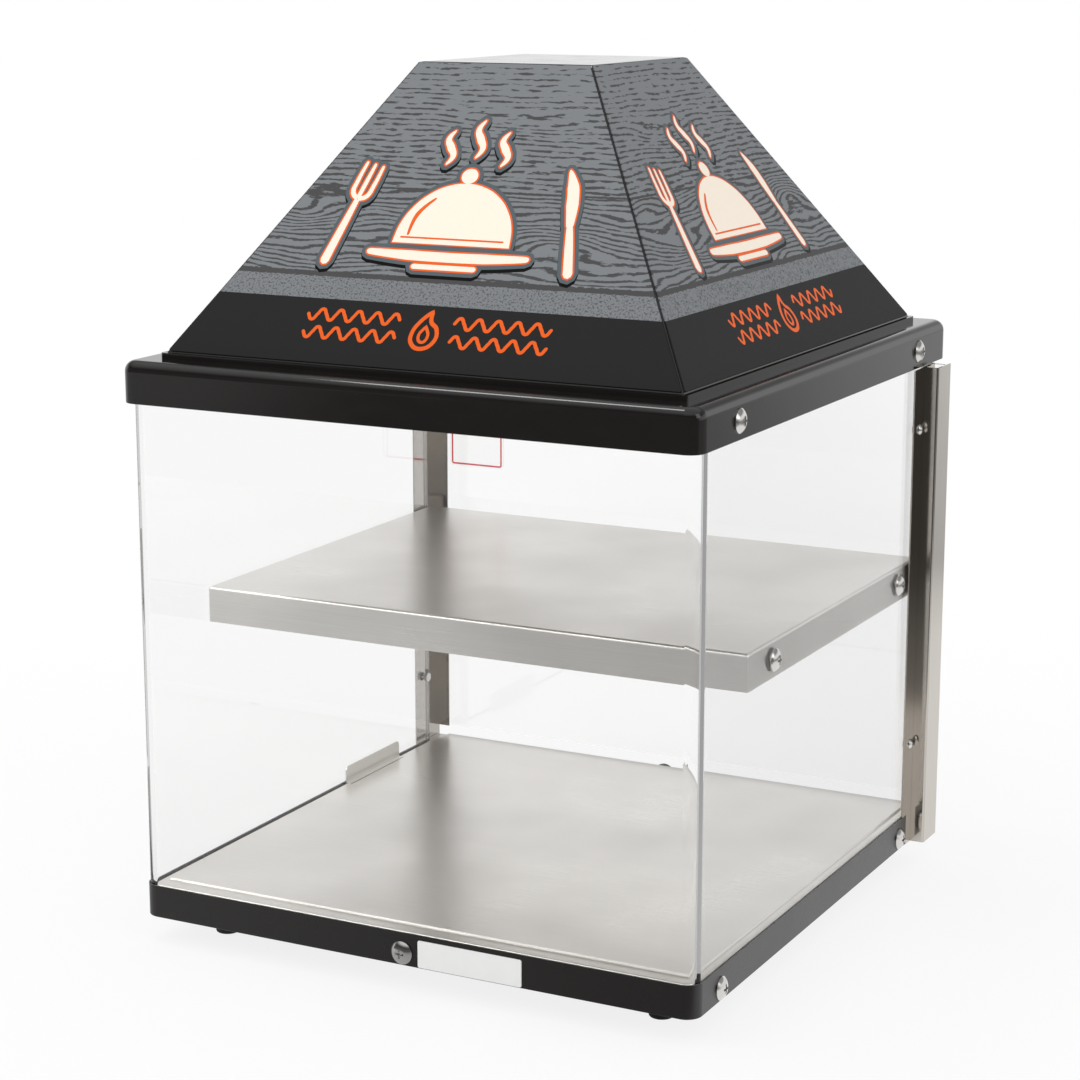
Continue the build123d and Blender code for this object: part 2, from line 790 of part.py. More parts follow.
def hood_parts():
    """Four-sided sign hood: moulded shell, one printed sheet on each slope, and the screws from below."""
    with BuildPart() as hood_shell:
        with BuildSketch(Plane.XY.offset(hood_base)):
            Rectangle(hood_width - 2 * sign_inset, hood_depth - 2 * sign_inset)
        with BuildSketch(Plane.XY.offset(hood_base + hood_height)):
            lean = 2 * (hood_top_inset + sign_inset)
            Rectangle(hood_width - lean, hood_depth - lean)
        loft()
        fillet(hood_shell.edges().group_by(Axis.Z)[-1], hood_top_round)
        reach = 2 * hood_foot_reach
        with BuildSketch(Plane.XY.offset(hood_bottom)):
            RectangleRounded(hood_width + reach, hood_depth + reach, hood_foot_reach)
        extrude(amount=hood_foot)
        wall = hood_wall * hood_slant / hood_height + sign_inset
        with BuildSketch(Plane.XY.offset(hood_base)):
            Rectangle(hood_width - 2 * wall, hood_depth - 2 * wall)
        with BuildSketch(Plane.XY.offset(hood_base + hood_height - hood_wall)):
            rise_share = (hood_height - hood_wall) / hood_height
            shrink = 2 * (wall + hood_top_inset * rise_share)
            Rectangle(hood_width - shrink, hood_depth - shrink)
        loft(mode=Mode.SUBTRACT)
        with BuildSketch(Plane.XY.offset(hood_bottom)):
            Rectangle(hood_width - 2 * hood_flange, hood_depth - 2 * hood_flange)
        extrude(amount=hood_foot, mode=Mode.SUBTRACT)
        drill(hood_screw_planes(), post_shank_radius + thread_gap, hood_screw_grip + screw_clearance)
    write(hood_shell, "hood_shell")

    faces = {
        "sign_front": (0, hood_width, hood_depth),
        "sign_right": (90, hood_depth, hood_width),
        "sign_rear": (180, hood_width, hood_depth),
        "sign_left": (270, hood_depth, hood_width),
    }
    for name, (turn, width, across) in faces.items():
        along = Vector(1, 0, 0).rotate(Axis.Z, turn)
        normal = Vector(0, -hood_height, hood_top_inset).rotate(Axis.Z, turn)
        foot_middle = Vector(0, -across / 2 + sign_inset, hood_base).rotate(Axis.Z, turn)
        face_plane = Plane(origin=foot_middle, x_dir=along, z_dir=normal)
        share = hood_top_inset / hood_slant
        low, high = sign_margin, hood_slant - sign_margin
        low_half = width / 2 - sign_inset - sign_margin - low * share
        high_half = width / 2 - sign_inset - sign_margin - high * share
        with BuildPart() as sign:
            with BuildSketch(face_plane) as sheet:
                with BuildLine():
                    corners = [(-low_half, low), (low_half, low), (high_half, high), (-high_half, high)]
                    Polyline(*corners, close=True)
                make_face()
                fillet(sheet.vertices().group_by(Axis.Z)[-1], sign_corner)
            extrude(amount=sign_thickness)
        write(sign, name)

    hood_screw = screw(post_head_radius, post_head_height, post_shank_radius, hood_screw_grip, post_slot)
    with BuildPart() as hood_screws:
        with Locations(*hood_screw_planes()):
            add(hood_screw)
    write(hood_screws, "hood_screws")


def hinge_barrels(leaf_box, fixed):
    """One kind of hinge leaf at both levels: outer knuckles if fixed, the middle knuckle if not."""
    step = hinge_height / 3
    with BuildPart() as leaves:
        for level in (low_hinge, high_hinge):
            low = pan_bottom + level
            spans = [(step + door_gap, 2 * step - door_gap)]
            if fixed:
                spans = [(0, step), (2 * step, 3 * step)]
            slab(*leaf_box, (low, low + hinge_height))
            if fixed:
                slab(
                    (hinge_x - hinge_barrel - cut_over, -post_outer),
                    (hinge_y - hinge_barrel - door_gap, hinge_y + hinge_barrel + door_gap),
                    (low + step, low + 2 * step),
                    Mode.SUBTRACT,
                )
            else:
                for gap in ((0, step + door_gap), (2 * step - door_gap, hinge_height)):
                    slab(
                        (hinge_x - hinge_barrel - cut_over, -post_outer + door_gap),
                        (hinge_y - hinge_barrel - cut_over, hinge_y + hinge_barrel + cut_over),
                        (low + gap[0], low + gap[1]),
                        Mode.SUBTRACT,
                    )
            for start, stop in spans:
                middle = (hinge_x, hinge_y, low + (start + stop) / 2)
                rod(middle, (0, 0, 1), hinge_barrel, stop - start)
        clearance = thread_gap if fixed else running_gap
        for level in (low_hinge, high_hinge):
            middle = (hinge_x, hinge_y, pan_bottom + level + hinge_height / 2)
            rod(middle, (0, 0, 1), hinge_pin + clearance, 2 * hinge_height, Mode.SUBTRACT)
    return leaves


def door_parts():
    """Clear rear door with its hinges, pull, magnet catch, strike and blank label."""
    low = pan_bottom + pull_level
    high = low + pull_height
    screw_levels = [low + pull_foot / 2, high - pull_foot / 2]
    pull_x = (door_right - pull_width - pull_inset, door_right - pull_inset)
    pull_middle = sum(pull_x) / 2
    with BuildPart() as door_panel:
        slab((door_left, door_right), (door_front, door_rear), (door_bottom, door_top))
        fillet(door_panel.edges().filter_by(Axis.Y), door_corner)
        for level in screw_levels:
            depth = 2 * (door_thickness - pull_screw_land)
            hole = pull_screw_radius + thread_gap
            rod((pull_middle, door_rear, level), (0, 1, 0), hole, depth, Mode.SUBTRACT)
    write(door_panel, "door_panel")

    with BuildPart() as door_pull:
        out = door_rear + pull_projection
        slab(pull_x, (door_rear, out), (low + pull_foot - pull_strap, high - pull_foot + pull_strap))
        slab(
            (pull_x[0] - cut_over, pull_x[1] + cut_over),
            (door_rear - cut_over, out - pull_strap),
            (low + pull_foot, high - pull_foot),
            Mode.SUBTRACT,
        )
        fillet(door_pull.edges().filter_by(Axis.X).group_by(Axis.Y)[-1], pull_outer_round)
        fillet(door_pull.edges().filter_by(Axis.X).group_by(Axis.Y)[-2], pull_inner_round)
        for start in (low, high - pull_foot):
            slab(pull_x, (door_rear, door_rear + pull_strap), (start, start + pull_foot))
        for level in screw_levels:
            hole = pull_screw_radius + slip
            rod((pull_middle, door_rear, level), (0, 1, 0), hole, 4 * pull_strap, Mode.SUBTRACT)
    write(door_pull, "door_pull")

    pull_grip = pull_strap + door_thickness - pull_screw_land - slip
    pull_screw = screw(pull_head_radius, pull_head_height, pull_screw_radius, pull_grip, pull_slot)
    with BuildPart() as pull_screws:
        for level in screw_levels:
            with Locations(Plane(origin=(pull_middle, door_rear + pull_strap, level), z_dir=(0, 1, 0))):
                add(pull_screw)
    write(pull_screws, "pull_screws")

    fixed_x = (-post_outer - running_gap - hinge_leaf, -post_outer - running_gap)
    fixed_y = (web_rear + channel_foot + leaf_gap, hinge_y)
    fixed_leaves = hinge_barrels((fixed_x, fixed_y), True)
    write(fixed_leaves, "hinge_leaves_post")
    door_leaf_x = (hinge_x, -post_outer + lip_width - leaf_setback)
    door_leaves = hinge_barrels((door_leaf_x, (door_rear, door_rear + hinge_leaf)), False)
    write(door_leaves, "hinge_leaves_door")
    with BuildPart() as hinge_pins:
        for level in (low_hinge, high_hinge):
            middle = pan_bottom + level + hinge_height / 2
            rod((hinge_x, hinge_y, middle), (0, 0, 1), hinge_pin, hinge_height)
            offset = (hinge_height + pin_head_height) / 2
            for end in (middle + offset, middle - offset):
                rod((hinge_x, hinge_y, end), (0, 0, 1), pin_head_radius, pin_head_height)
    write(hinge_pins, "hinge_pins")

    catch_z = (pan_bottom + catch_level, pan_bottom + catch_level + catch_height)
    catch_x = (post_outer + running_gap, channel_inner)
    catch_rear = door_front - strike_thickness - door_gap
    with BuildPart() as magnet_catch:
        slab(catch_x, (catch_rear - catch_depth, catch_rear), catch_z)
        fillet(magnet_catch.edges().filter_by(Axis.X), catch_edge_round)
    write(magnet_catch, "magnet_catch")
    with BuildPart() as catch_strike:
        strike_x = (catch_x[0] + strike_margin, door_right - strike_margin / 2)
        strike_z = (catch_z[0] + strike_margin, catch_z[1] - strike_margin)
        slab(strike_x, (door_front - strike_thickness, door_front), strike_z)
    write(catch_strike, "catch_strike")

    with BuildPart() as door_label:
        label_left = -post_outer + lip_width + label_gap
        middle = (label_left + label_width / 2, door_rear, pan_bottom + label_level + label_height / 2)
        with BuildSketch(Plane(origin=middle, x_dir=(1, 0, 0), z_dir=(0, 1, 0))):
            RectangleRounded(label_width, label_height, label_corner)
        extrude(amount=label_thickness)
    write(door_label, "door_label")


def control_parts():
    """Power switch, thermostat with its knob, cord gland and terminal block on the rear panel."""
    body_x = bezel_width / 2 - bezel_overlap
    body_z = bezel_height / 2 - bezel_overlap
    well_x = rocker_width / 2 + rocker_side_gap
    well_z = rocker_height / 2 + rocker_gap
    pivot_y = base_rear + rocker_pivot_rise
    switch_middle = (switch_x, base_rear, control_z)
    pivot_middle = (switch_x, pivot_y, control_z)
    with BuildPart() as switch_housing:
        with BuildSketch(Plane(origin=switch_middle, x_dir=(1, 0, 0), z_dir=(0, 1, 0))):
            Rectangle(bezel_width, bezel_height)
        extrude(amount=bezel_thickness)
        fillet(switch_housing.edges().group_by(Axis.Y)[-1], bezel_round)
        slab(
            (switch_x - body_x, switch_x + body_x),
            (base_rear - switch_body_depth, base_rear),
            (control_z - body_z, control_z + body_z),
        )
        slab(
            (switch_x - well_x, switch_x + well_x),
            (pivot_y - rocker_back - rocker_well_gap, base_rear + bezel_thickness + cut_over),
            (control_z - well_z, control_z + well_z),
            Mode.SUBTRACT,
        )
        bore_length = 2 * (well_x + rocker_pin_reach)
        rod(pivot_middle, (1, 0, 0), rocker_pin_radius + running_gap, bore_length, Mode.SUBTRACT)
    write(switch_housing, "switch_housing")

    half_height = rocker_height / 2
    reach = bezel_thickness + rocker_proud
    pivot = Plane(origin=pivot_middle, x_dir=(0, 1, 0), z_dir=(1, 0, 0))
    with BuildPart() as power_rocker:
        with BuildSketch(pivot):
            with BuildLine():
                Polyline(
                    (-rocker_back, -half_height),
                    (reach, -half_height),
                    (reach - rocker_dish, 0),
                    (reach, half_height),
                    (-rocker_back, half_height),
                    close=True,
                )
            make_face()
        extrude(amount=rocker_width / 2, both=True)
        fillet(power_rocker.edges().filter_by(Axis.X).group_by(Axis.Y)[-1], rocker_round)
        rod(pivot_middle, (1, 0, 0), rocker_pin_radius, rocker_width + 2 * rocker_pin_reach)
    tilted = power_rocker.part.rotate(Axis(pivot_middle, (1, 0, 0)), -rocker_tilt)
    with BuildPart() as rocker_off:
        add(tilted)
    write(rocker_off, "power_rocker")

    with BuildPart() as thermostat_body:
        rear = panel_front
        slab(
            (thermostat_x - thermostat_size / 2, thermostat_x + thermostat_size / 2),
            (rear - thermostat_depth, rear),
            (control_z - thermostat_rise / 2, control_z + thermostat_rise / 2),
        )
        rod((thermostat_x, rear + bushing_reach / 2, control_z), (0, 1, 0), bushing_radius, bushing_reach)
        bore = shaft_radius + running_gap
        bore_depth = shaft_depth + shaft_bore_gap
        rod((thermostat_x, rear, control_z), (0, 1, 0), bore, 2 * bore_depth, Mode.SUBTRACT)
    write(thermostat_body, "thermostat_body")

    knob_front = panel_front + bushing_reach + door_gap
    with BuildPart() as thermostat_shaft:
        stop = knob_front + knob_height - knob_roof
        start = panel_front - shaft_depth
        rod((thermostat_x, (start + stop) / 2, control_z), (0, 1, 0), shaft_radius, stop - start)
    write(thermostat_shaft, "thermostat_shaft")

    knob_plane = Plane(origin=(thermostat_x, knob_front, control_z), x_dir=(1, 0, 0), z_dir=(0, 1, 0))
    with BuildPart() as thermostat_knob:
        with BuildSketch(knob_plane):
            Circle(knob_radius)
        extrude(amount=knob_height, taper=knob_taper)
        fillet(thermostat_knob.edges().group_by(Axis.Y)[-1], knob_round)
        with Locations(knob_plane.offset(knob_height / 2 + flute_start)):
            with PolarLocations(knob_radius, knob_flutes):
                Cylinder(flute_radius, knob_height, mode=Mode.SUBTRACT)
        with Locations(knob_plane.offset(knob_height)):
            with Locations((0, -knob_radius / 2)):
                Box(pointer_width, pointer_length, pointer_width, mode=Mode.SUBTRACT)
        with BuildSketch(knob_plane):
            Circle(shaft_radius + thread_gap)
        extrude(amount=knob_height - knob_roof + thread_gap, mode=Mode.SUBTRACT)
    write(thermostat_knob, "thermostat_knob")

    with BuildPart() as cord_gland:
        gland = Plane(origin=(gland_x, base_rear, control_z), z_dir=(0, 1, 0))
        with BuildSketch(gland):
            RegularPolygon(gland_flange, 6)
        extrude(amount=gland_flange_height)
        with BuildSketch(gland.offset(gland_flange_height)):
            Circle(gland_collar)
        extrude(amount=gland_dome - gland_flange_height)
        fillet(cord_gland.edges().group_by(Axis.Y)[-1], gland_collar_round)
        rod((gland_x, base_rear - gland_tail / 2, control_z), (0, 1, 0), gland_barrel, gland_tail)
        rod((gland_x, base_rear, control_z), (0, 1, 0), gland_bore, 6 * gland_dome, Mode.SUBTRACT)
    write(cord_gland, "cord_gland")

    with BuildPart() as gland_nut:
        with BuildSketch(Plane(origin=(gland_x, panel_front, control_z), z_dir=(0, -1, 0))):
            RegularPolygon(gland_flange, 6)
            Circle(gland_barrel + thread_gap, mode=Mode.SUBTRACT)
        extrude(amount=gland_nut_height)
    write(gland_nut, "gland_nut")

    with BuildPart() as terminal_block:
        floor = pan_bottom + pan_sheet
        rear = panel_front - terminal_gap
        slab(
            (terminal_x - terminal_width / 2, terminal_x + terminal_width / 2),
            (rear - terminal_depth, rear),
            (floor, floor + terminal_height),
        )
        pitch = terminal_width / 4
        with Locations((terminal_x, rear - terminal_depth / 2, floor + terminal_height)):
            with GridLocations(pitch, 1, 4, 1):
                Cylinder(pitch * 0.3, terminal_height, mode=Mode.SUBTRACT)
    write(terminal_block, "terminal_block")


os.makedirs("parts", exist_ok=True)
base_parts()
deck_parts()
enclosure_parts()
post_parts()
shelf_parts()
lid_parts()
hood_parts()
door_parts()
control_parts()
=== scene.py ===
# %% [markdown]
# # Heated merchandiser
# A countertop food warmer: two heated stainless surfaces in a clear case, a glossy black lid above
# them and a four-sided sign hood on top. The construction comes ready made as a frame of separate
# parts in metres, so this lesson gives every part its real finish, adds what is printed on them,
# and lights them for a photograph.

# %% Load the construction
from math import cos, pi, radians, sin

import bmesh
import bpy
from mathutils import Matrix, Vector


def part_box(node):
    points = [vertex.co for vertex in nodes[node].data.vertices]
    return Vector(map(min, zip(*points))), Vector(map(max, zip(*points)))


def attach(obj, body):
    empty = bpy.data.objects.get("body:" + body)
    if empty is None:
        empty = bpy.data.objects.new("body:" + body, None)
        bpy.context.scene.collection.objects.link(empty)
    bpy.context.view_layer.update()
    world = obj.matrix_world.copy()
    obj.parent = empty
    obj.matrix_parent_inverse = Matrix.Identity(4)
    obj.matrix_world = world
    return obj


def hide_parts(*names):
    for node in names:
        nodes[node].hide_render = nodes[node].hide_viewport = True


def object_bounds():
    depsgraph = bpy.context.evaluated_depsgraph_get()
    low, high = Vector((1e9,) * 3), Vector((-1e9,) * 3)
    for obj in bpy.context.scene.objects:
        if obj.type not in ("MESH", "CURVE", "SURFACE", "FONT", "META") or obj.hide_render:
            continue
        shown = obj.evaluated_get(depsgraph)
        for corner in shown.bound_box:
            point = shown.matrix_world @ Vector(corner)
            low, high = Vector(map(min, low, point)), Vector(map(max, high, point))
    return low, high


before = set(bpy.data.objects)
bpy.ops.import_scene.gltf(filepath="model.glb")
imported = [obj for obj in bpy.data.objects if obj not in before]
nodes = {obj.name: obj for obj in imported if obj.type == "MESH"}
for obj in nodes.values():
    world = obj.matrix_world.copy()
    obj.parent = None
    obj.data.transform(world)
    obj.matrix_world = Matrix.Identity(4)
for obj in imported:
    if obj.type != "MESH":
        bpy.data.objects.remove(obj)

built_low, built_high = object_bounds()
print("parts loaded:", len(nodes))

# %% [markdown]
# ## Helpers for every finish
# Colours are picked as sRGB hex codes, as a paint or print shop gives them, but the shaders work in
# linear light, so one function turns a code into linear values. Another adds a node, where each
# input gets a value or is linked to the node, or the output, that it is given. A third starts a
# material with what is the same all over it. Grain, grit and orange peel are measured in
# millimetres, so a length is written as a number of them times MM.

# %% Colour and node helpers
MM = 0.001


def linear(code):
    """Linear RGBA of an sRGB hex code."""
    parts = [int(code[start:start + 2], 16) / 255 for start in (1, 3, 5)]
    curve = [part / 12.92 if part <= 0.04045 else ((part + 0.055) / 1.055) ** 2.4 for part in parts]
    return (*curve, 1.0)


def darker(colour, share):
    """A linear colour at a share of its strength."""
    return (*(share * channel for channel in colour[:3]), 1.0)


def fill(node, inputs):
    """Set each input of a node, or link it to the node or output that it is given."""
    for key, value in inputs.items():
        if isinstance(value, bpy.types.Node):
            value = value.outputs[0]
        if isinstance(value, bpy.types.NodeSocket):
            node.id_data.links.new(value, node.inputs[key])
        else:
            node.inputs[key].default_value = value
    return node


def add(tree, kind, inputs=None, **settings):
    """Add one node with its settings, and fill its inputs."""
    node = tree.nodes.new("ShaderNode" + kind)
    for name, value in settings.items():
        setattr(node, name, value)
    return fill(node, inputs or {})


def start_finish(name, surface):
    """New material with even shader values, and its tree, shader and Object coordinates."""
    material = bpy.data.materials.new(name)
    material.use_nodes = True
    tree = material.node_tree
    shader = fill(tree.nodes["Principled BSDF"], surface)
    return material, tree, shader, add(tree, "TexCoord").outputs["Object"]


print("white is", linear("#FFFFFF"))

# %% [markdown]
# ## Sheet steel with a powder coat
# The base pan is bent steel sheet, sprayed with dry powder that melts in an oven into a satin black
# skin. The skin flows a little before it sets, which leaves soft dimples about 1.5 mm apart, known
# as orange peel, and handling dulls it in patches a few centimetres wide. A noise texture of one
# size drives the bump, and one of the other drives the colour and the roughness. The surface itself
# is nearly black, and the grey that the eye sees on its side is the room in its gloss.

# %% Powder-coated steel
def powder_coat():
    """Satin black powder coat over steel sheet."""
    peel_pitch = 1.5 * MM
    patch_size = 45 * MM
    material, tree, shader, place = start_finish("powder_coated_steel", {"IOR": 1.5})
    peel = add(tree, "TexNoise", {"Vector": place, "Scale": 1 / peel_pitch, "Detail": 2.0})
    patches = add(tree, "TexNoise", {"Vector": place, "Scale": 1 / patch_size, "Detail": 3.0})
    colour = add(
        tree, "Mix", {0: patches, 6: linear("#171413"), 7: linear("#1E1A19")}, data_type="RGBA"
    )
    dull = add(tree, "MapRange", {"Value": patches, "To Min": 0.22, "To Max": 0.34})
    bump = add(tree, "Bump", {"Height": peel, "Strength": 0.35, "Distance": 0.02 * MM})
    fill(shader, {"Base Color": colour.outputs[2], "Roughness": dull, "Normal": bump})
    return material


coated_steel = powder_coat()
print("made", coated_steel.name)

# %% [markdown]
# ## Formed ABS
# The lid and the hood are ABS sheet, warmed until it sags and drawn over a mould by vacuum. The outer
# face never touches the mould, so it keeps the high gloss of the rolled sheet, but the stretching
# leaves slow waves some 60 mm long that bend reflections, and wiping leaves faint level smears.

# %% Glossy formed ABS
def formed_abs():
    """Glossy black ABS sheet, formed over a mould."""
    wave_length = 60 * MM
    smear_length = 25 * MM
    smear_height = 10 * MM
    material, tree, shader, place = start_finish("formed_abs_gloss", {"IOR": 1.53})
    waves = add(tree, "TexNoise", {"Vector": place, "Scale": 1 / wave_length, "Detail": 1.0})
    flattened = (1.0, 1.0, smear_length / smear_height)
    level = add(tree, "Mapping", {"Vector": place, "Scale": flattened})
    smears = add(tree, "TexNoise", {"Vector": level, "Scale": 1 / smear_length, "Detail": 5.0})
    colour = add(
        tree, "Mix", {0: smears, 6: linear("#191716"), 7: linear("#1F1C1B")}, data_type="RGBA"
    )
    gloss = add(
        tree, "MapRange",
        {"Value": smears, "From Min": 0.4, "From Max": 0.75, "To Min": 0.07, "To Max": 0.13},
    )
    bump = add(tree, "Bump", {"Height": waves, "Strength": 0.5, "Distance": 0.12 * MM})
    fill(shader, {"Base Color": colour.outputs[2], "Roughness": gloss, "Normal": bump})
    return material


gloss_abs = formed_abs()
print("made", gloss_abs.name)

# %% [markdown]
# ## Brushed stainless sheet
# The decks, posts and channels are food-grade stainless with a number 4 finish: a belt of fine grit
# is run along the sheet and leaves short parallel scratches. Real scratches are about 0.05 mm wide,
# too fine to show at this distance, so they are drawn 0.5 mm wide. A noise stretched along the
# belt's direction makes them; a second, larger one is the slow clouding of a sheet that has been
# wiped. The posts mirror the room more sharply than the decks do, so their sheet is smoother. Their
# colour is a little greyer than the decks', which is painted shade on the same stainless.

# %% Brushed stainless steel
def brushed_steel(name, axis, tint, smoothest, dullest):
    """Stainless sheet brushed along one axis, between two roughnesses."""
    scratch_width = 0.5 * MM
    scratch_length = 70 * MM
    cloud_size = 110 * MM
    scratch_share = 0.6
    darkest = 0.86
    stretch = [1 / scratch_width] * 3
    stretch["XYZ".index(axis)] = 1 / scratch_length
    material, tree, shader, place = start_finish(name, {"Metallic": 1.0})
    along = add(tree, "Mapping", {"Vector": place, "Scale": stretch})
    scratches = add(tree, "TexNoise", {"Vector": along, "Scale": 1.0, "Detail": 3.0})
    clouds = add(tree, "TexNoise", {"Vector": place, "Scale": 1 / cloud_size, "Detail": 2.0})
    both = add(tree, "Math", {0: scratches, 1: scratch_share, 2: clouds}, operation="MULTIPLY_ADD")
    spread = {"Value": both, "From Min": 0.5, "From Max": 1.1}
    light = linear(tint)
    shade = add(tree, "MapRange", {**spread, "To Min": 0.0, "To Max": 1.0})
    colour = add(tree, "Mix", {0: shade, 6: darker(light, darkest), 7: light}, data_type="RGBA")
    dull = add(tree, "MapRange", {**spread, "To Min": dullest, "To Max": smoothest})
    bump = add(tree, "Bump", {"Height": scratches, "Strength": 0.12, "Distance": 0.02 * MM})
    fill(shader, {"Base Color": colour.outputs[2], "Roughness": dull, "Normal": bump})
    return material


deck_steel = brushed_steel("brushed_stainless_deck", "X", "#E9E6E1", 0.26, 0.36)
# The posts' greyer tint is painted shade: the same stainless as the decks, set darker.
post_steel = brushed_steel("brushed_stainless_post", "Z", "#C6C0B8", 0.08, 0.16)
print("made", deck_steel.name, "and", post_steel.name)

# %% [markdown]
# ## Clear cast acrylic
# The case is cast acrylic, 4.8 mm thick, with polished edges. It bends light a little less than
# window glass does and has no green tint. Light from the lamps has to reach the food deck, but a
# renderer treats clear plastic as something that throws a shadow, so shadow rays pass a transparent
# shader, and so does light that has already bounced off a matt face. A ray that is caught in a
# polished edge and turns round and round would come out black after its last allowed bounce, so
# from its third turn it passes straight on. The sheet is not perfectly flat: casting leaves slow
# swells that bend its reflections a trace.

# %% Cast acrylic
def cast_acrylic():
    """Clear cast acrylic with slow swells; shadow rays pass through it."""
    swell_size = 90 * MM
    between_turns = 2.5
    clear = {"Base Color": linear("#FFFFFF"), "IOR": 1.49, "Roughness": 0.0, "Transmission Weight": 1.0}
    material, tree, shader, place = start_finish("clear_cast_acrylic", clear)
    swells = add(tree, "TexNoise", {"Vector": place, "Scale": 1 / swell_size, "Detail": 1.0})
    bump = add(tree, "Bump", {"Height": swells, "Strength": 0.2, "Distance": 0.05 * MM})
    fill(shader, {"Normal": bump})
    see_through = add(tree, "BsdfTransparent")
    path = add(tree, "LightPath").outputs
    caught = add(tree, "Math", {0: path["Glossy Depth"], 1: between_turns}, operation="GREATER_THAN")
    matt = add(tree, "Math", {0: path["Is Shadow Ray"], 1: path["Is Diffuse Ray"]}, operation="MAXIMUM")
    passes = add(tree, "Math", {0: matt, 1: caught}, operation="MAXIMUM")
    either = add(tree, "MixShader", {0: passes, 1: shader, 2: see_through})
    fill(tree.nodes["Material Output"], {"Surface": either})
    return material


acrylic = cast_acrylic()
print("made", acrylic.name)

# %% [markdown]
# ## Zinc-plated screws
# The truss-head screws and nuts are steel with a bright zinc plate, a thin silvery metal. Turning
# marks run round each head, so the metal is not a mirror, and a fine noise in the roughness spreads
# its highlight as they do.

# %% Plated steel
def zinc_plate():
    """Bright zinc plate on turned steel."""
    mark_size = 0.6 * MM
    material, tree, shader, place = start_finish("bright_zinc_plate", {"Metallic": 1.0})
    marks = add(tree, "TexNoise", {"Vector": place, "Scale": 1 / mark_size, "Detail": 3.0})
    colour = add(
        tree, "Mix", {0: marks, 6: linear("#C4C2BF"), 7: linear("#E2E0DD")}, data_type="RGBA"
    )
    dull = add(tree, "MapRange", {"Value": marks, "To Min": 0.12, "To Max": 0.26})
    fill(shader, {"Base Color": colour.outputs[2], "Roughness": dull})
    return material


plated = zinc_plate()
print("made", plated.name)

# %% [markdown]
# ## Moulded plastic and rubber
# The feet are moulded rubber, the switch, knob, gland, catch and wire sleeve are moulded black
# nylon, and the terminal block is white nylon. All come out of a spark-eroded mould, whose texture
# is a fine, even stipple. One function makes them all, from the colour, the stipple's size and the
# gloss. The white engraving stock of the blank name plate and the silicone on the wires are as fine
# and even, so they share it.

# %% Moulded finishes
def moulded(name, dark, light, stipple, smoothest, dullest, ior):
    """Moulded plastic or rubber with a fine stipple and larger patches of wear."""
    wear_size = 30 * stipple
    material, tree, shader, place = start_finish(name, {"IOR": ior})
    grain = add(tree, "TexNoise", {"Vector": place, "Scale": 1 / stipple, "Detail": 2.0})
    wear = add(tree, "TexNoise", {"Vector": place, "Scale": 1 / wear_size, "Detail": 3.0})
    colour = add(tree, "Mix", {0: wear, 6: linear(dark), 7: linear(light)}, data_type="RGBA")
    dull = add(tree, "MapRange", {"Value": wear, "To Min": smoothest, "To Max": dullest})
    bump = add(tree, "Bump", {"Height": grain, "Strength": 0.3, "Distance": 0.02 * MM})
    fill(shader, {"Base Color": colour.outputs[2], "Roughness": dull, "Normal": bump})
    return material


rubber = moulded("moulded_rubber", "#141414", "#1F1E1E", 0.8 * MM, 0.55, 0.75, 1.52)
black_nylon = moulded("moulded_black_nylon", "#161616", "#202020", 0.5 * MM, 0.35, 0.5, 1.53)
white_nylon = moulded("moulded_white_nylon", "#E2E0DA", "#EFEDE8", 0.5 * MM, 0.35, 0.5, 1.53)
engraved_plate = moulded("white_engraving_stock", "#EFEFEE", "#F6F6F5", 0.6 * MM, 0.3, 0.36, 1.5)
red_silicone = moulded("silicone_wire", "#8E1F17", "#A32A20", 0.7 * MM, 0.4, 0.55, 1.45)
print("made the moulded finishes")

# %% [markdown]
# ## What hides under the decks
# A heater mat is two sheets of orange-red silicone rubber pressed round a zigzag of resistance wire,
# and the cloth between them prints a 1 mm weave on its face. The blanket under it is needled mineral
# fibre, off-white and matt. They only show when the part is taken to pieces, but they are real
# parts. At a scale of 1 a wave texture draws about pi bands in each unit of length, so the scale
# for a pitch is one over that pitch, divided by pi.

# %% Heater mat and mineral blanket
def heater_mat():
    """Orange-red silicone rubber with a woven imprint and the raised line of the wire inside."""
    weave = 1.0 * MM
    wire_pitch = 12 * MM
    wire_rise = 3.0
    silicone = {"Roughness": 0.6, "IOR": 1.45}
    material, tree, shader, place = start_finish("silicone_heater_mat", silicone)
    woven = {"Vector": place, "Scale": 1 / weave / pi, "Distortion": 0.4}
    threads = add(tree, "TexWave", woven, bands_direction="X")
    wired = {"Vector": place, "Scale": 1 / wire_pitch / pi, "Distortion": 0.2}
    wires = add(tree, "TexWave", wired, bands_direction="Y")
    colour = add(
        tree, "Mix", {0: threads, 6: linear("#A63A1E"), 7: linear("#C24A28")}, data_type="RGBA"
    )
    relief = add(tree, "Math", {0: wires, 1: wire_rise, 2: threads}, operation="MULTIPLY_ADD")
    bump = add(tree, "Bump", {"Height": relief, "Strength": 0.5, "Distance": 0.1 * MM})
    fill(shader, {"Base Color": colour.outputs[2], "Normal": bump})
    return material


def mineral_blanket():
    """Off-white needled fibre."""
    tuft = 4 * MM
    material, tree, shader, place = start_finish("needled_mineral_fibre", {"Roughness": 0.95})
    fluffy = {"Vector": place, "Scale": 1 / tuft, "Detail": 6.0, "Roughness": 0.7}
    fibres = add(tree, "TexNoise", fluffy)
    colour = add(
        tree, "Mix", {0: fibres, 6: linear("#CFC8B2"), 7: linear("#EAE5D6")}, data_type="RGBA"
    )
    bump = add(tree, "Bump", {"Height": fibres, "Strength": 0.8, "Distance": 0.8 * MM})
    fill(shader, {"Base Color": colour.outputs[2], "Normal": bump})
    return material


heater_red = heater_mat()
blanket = mineral_blanket()
print("made", heater_red.name, "and", blanket.name)

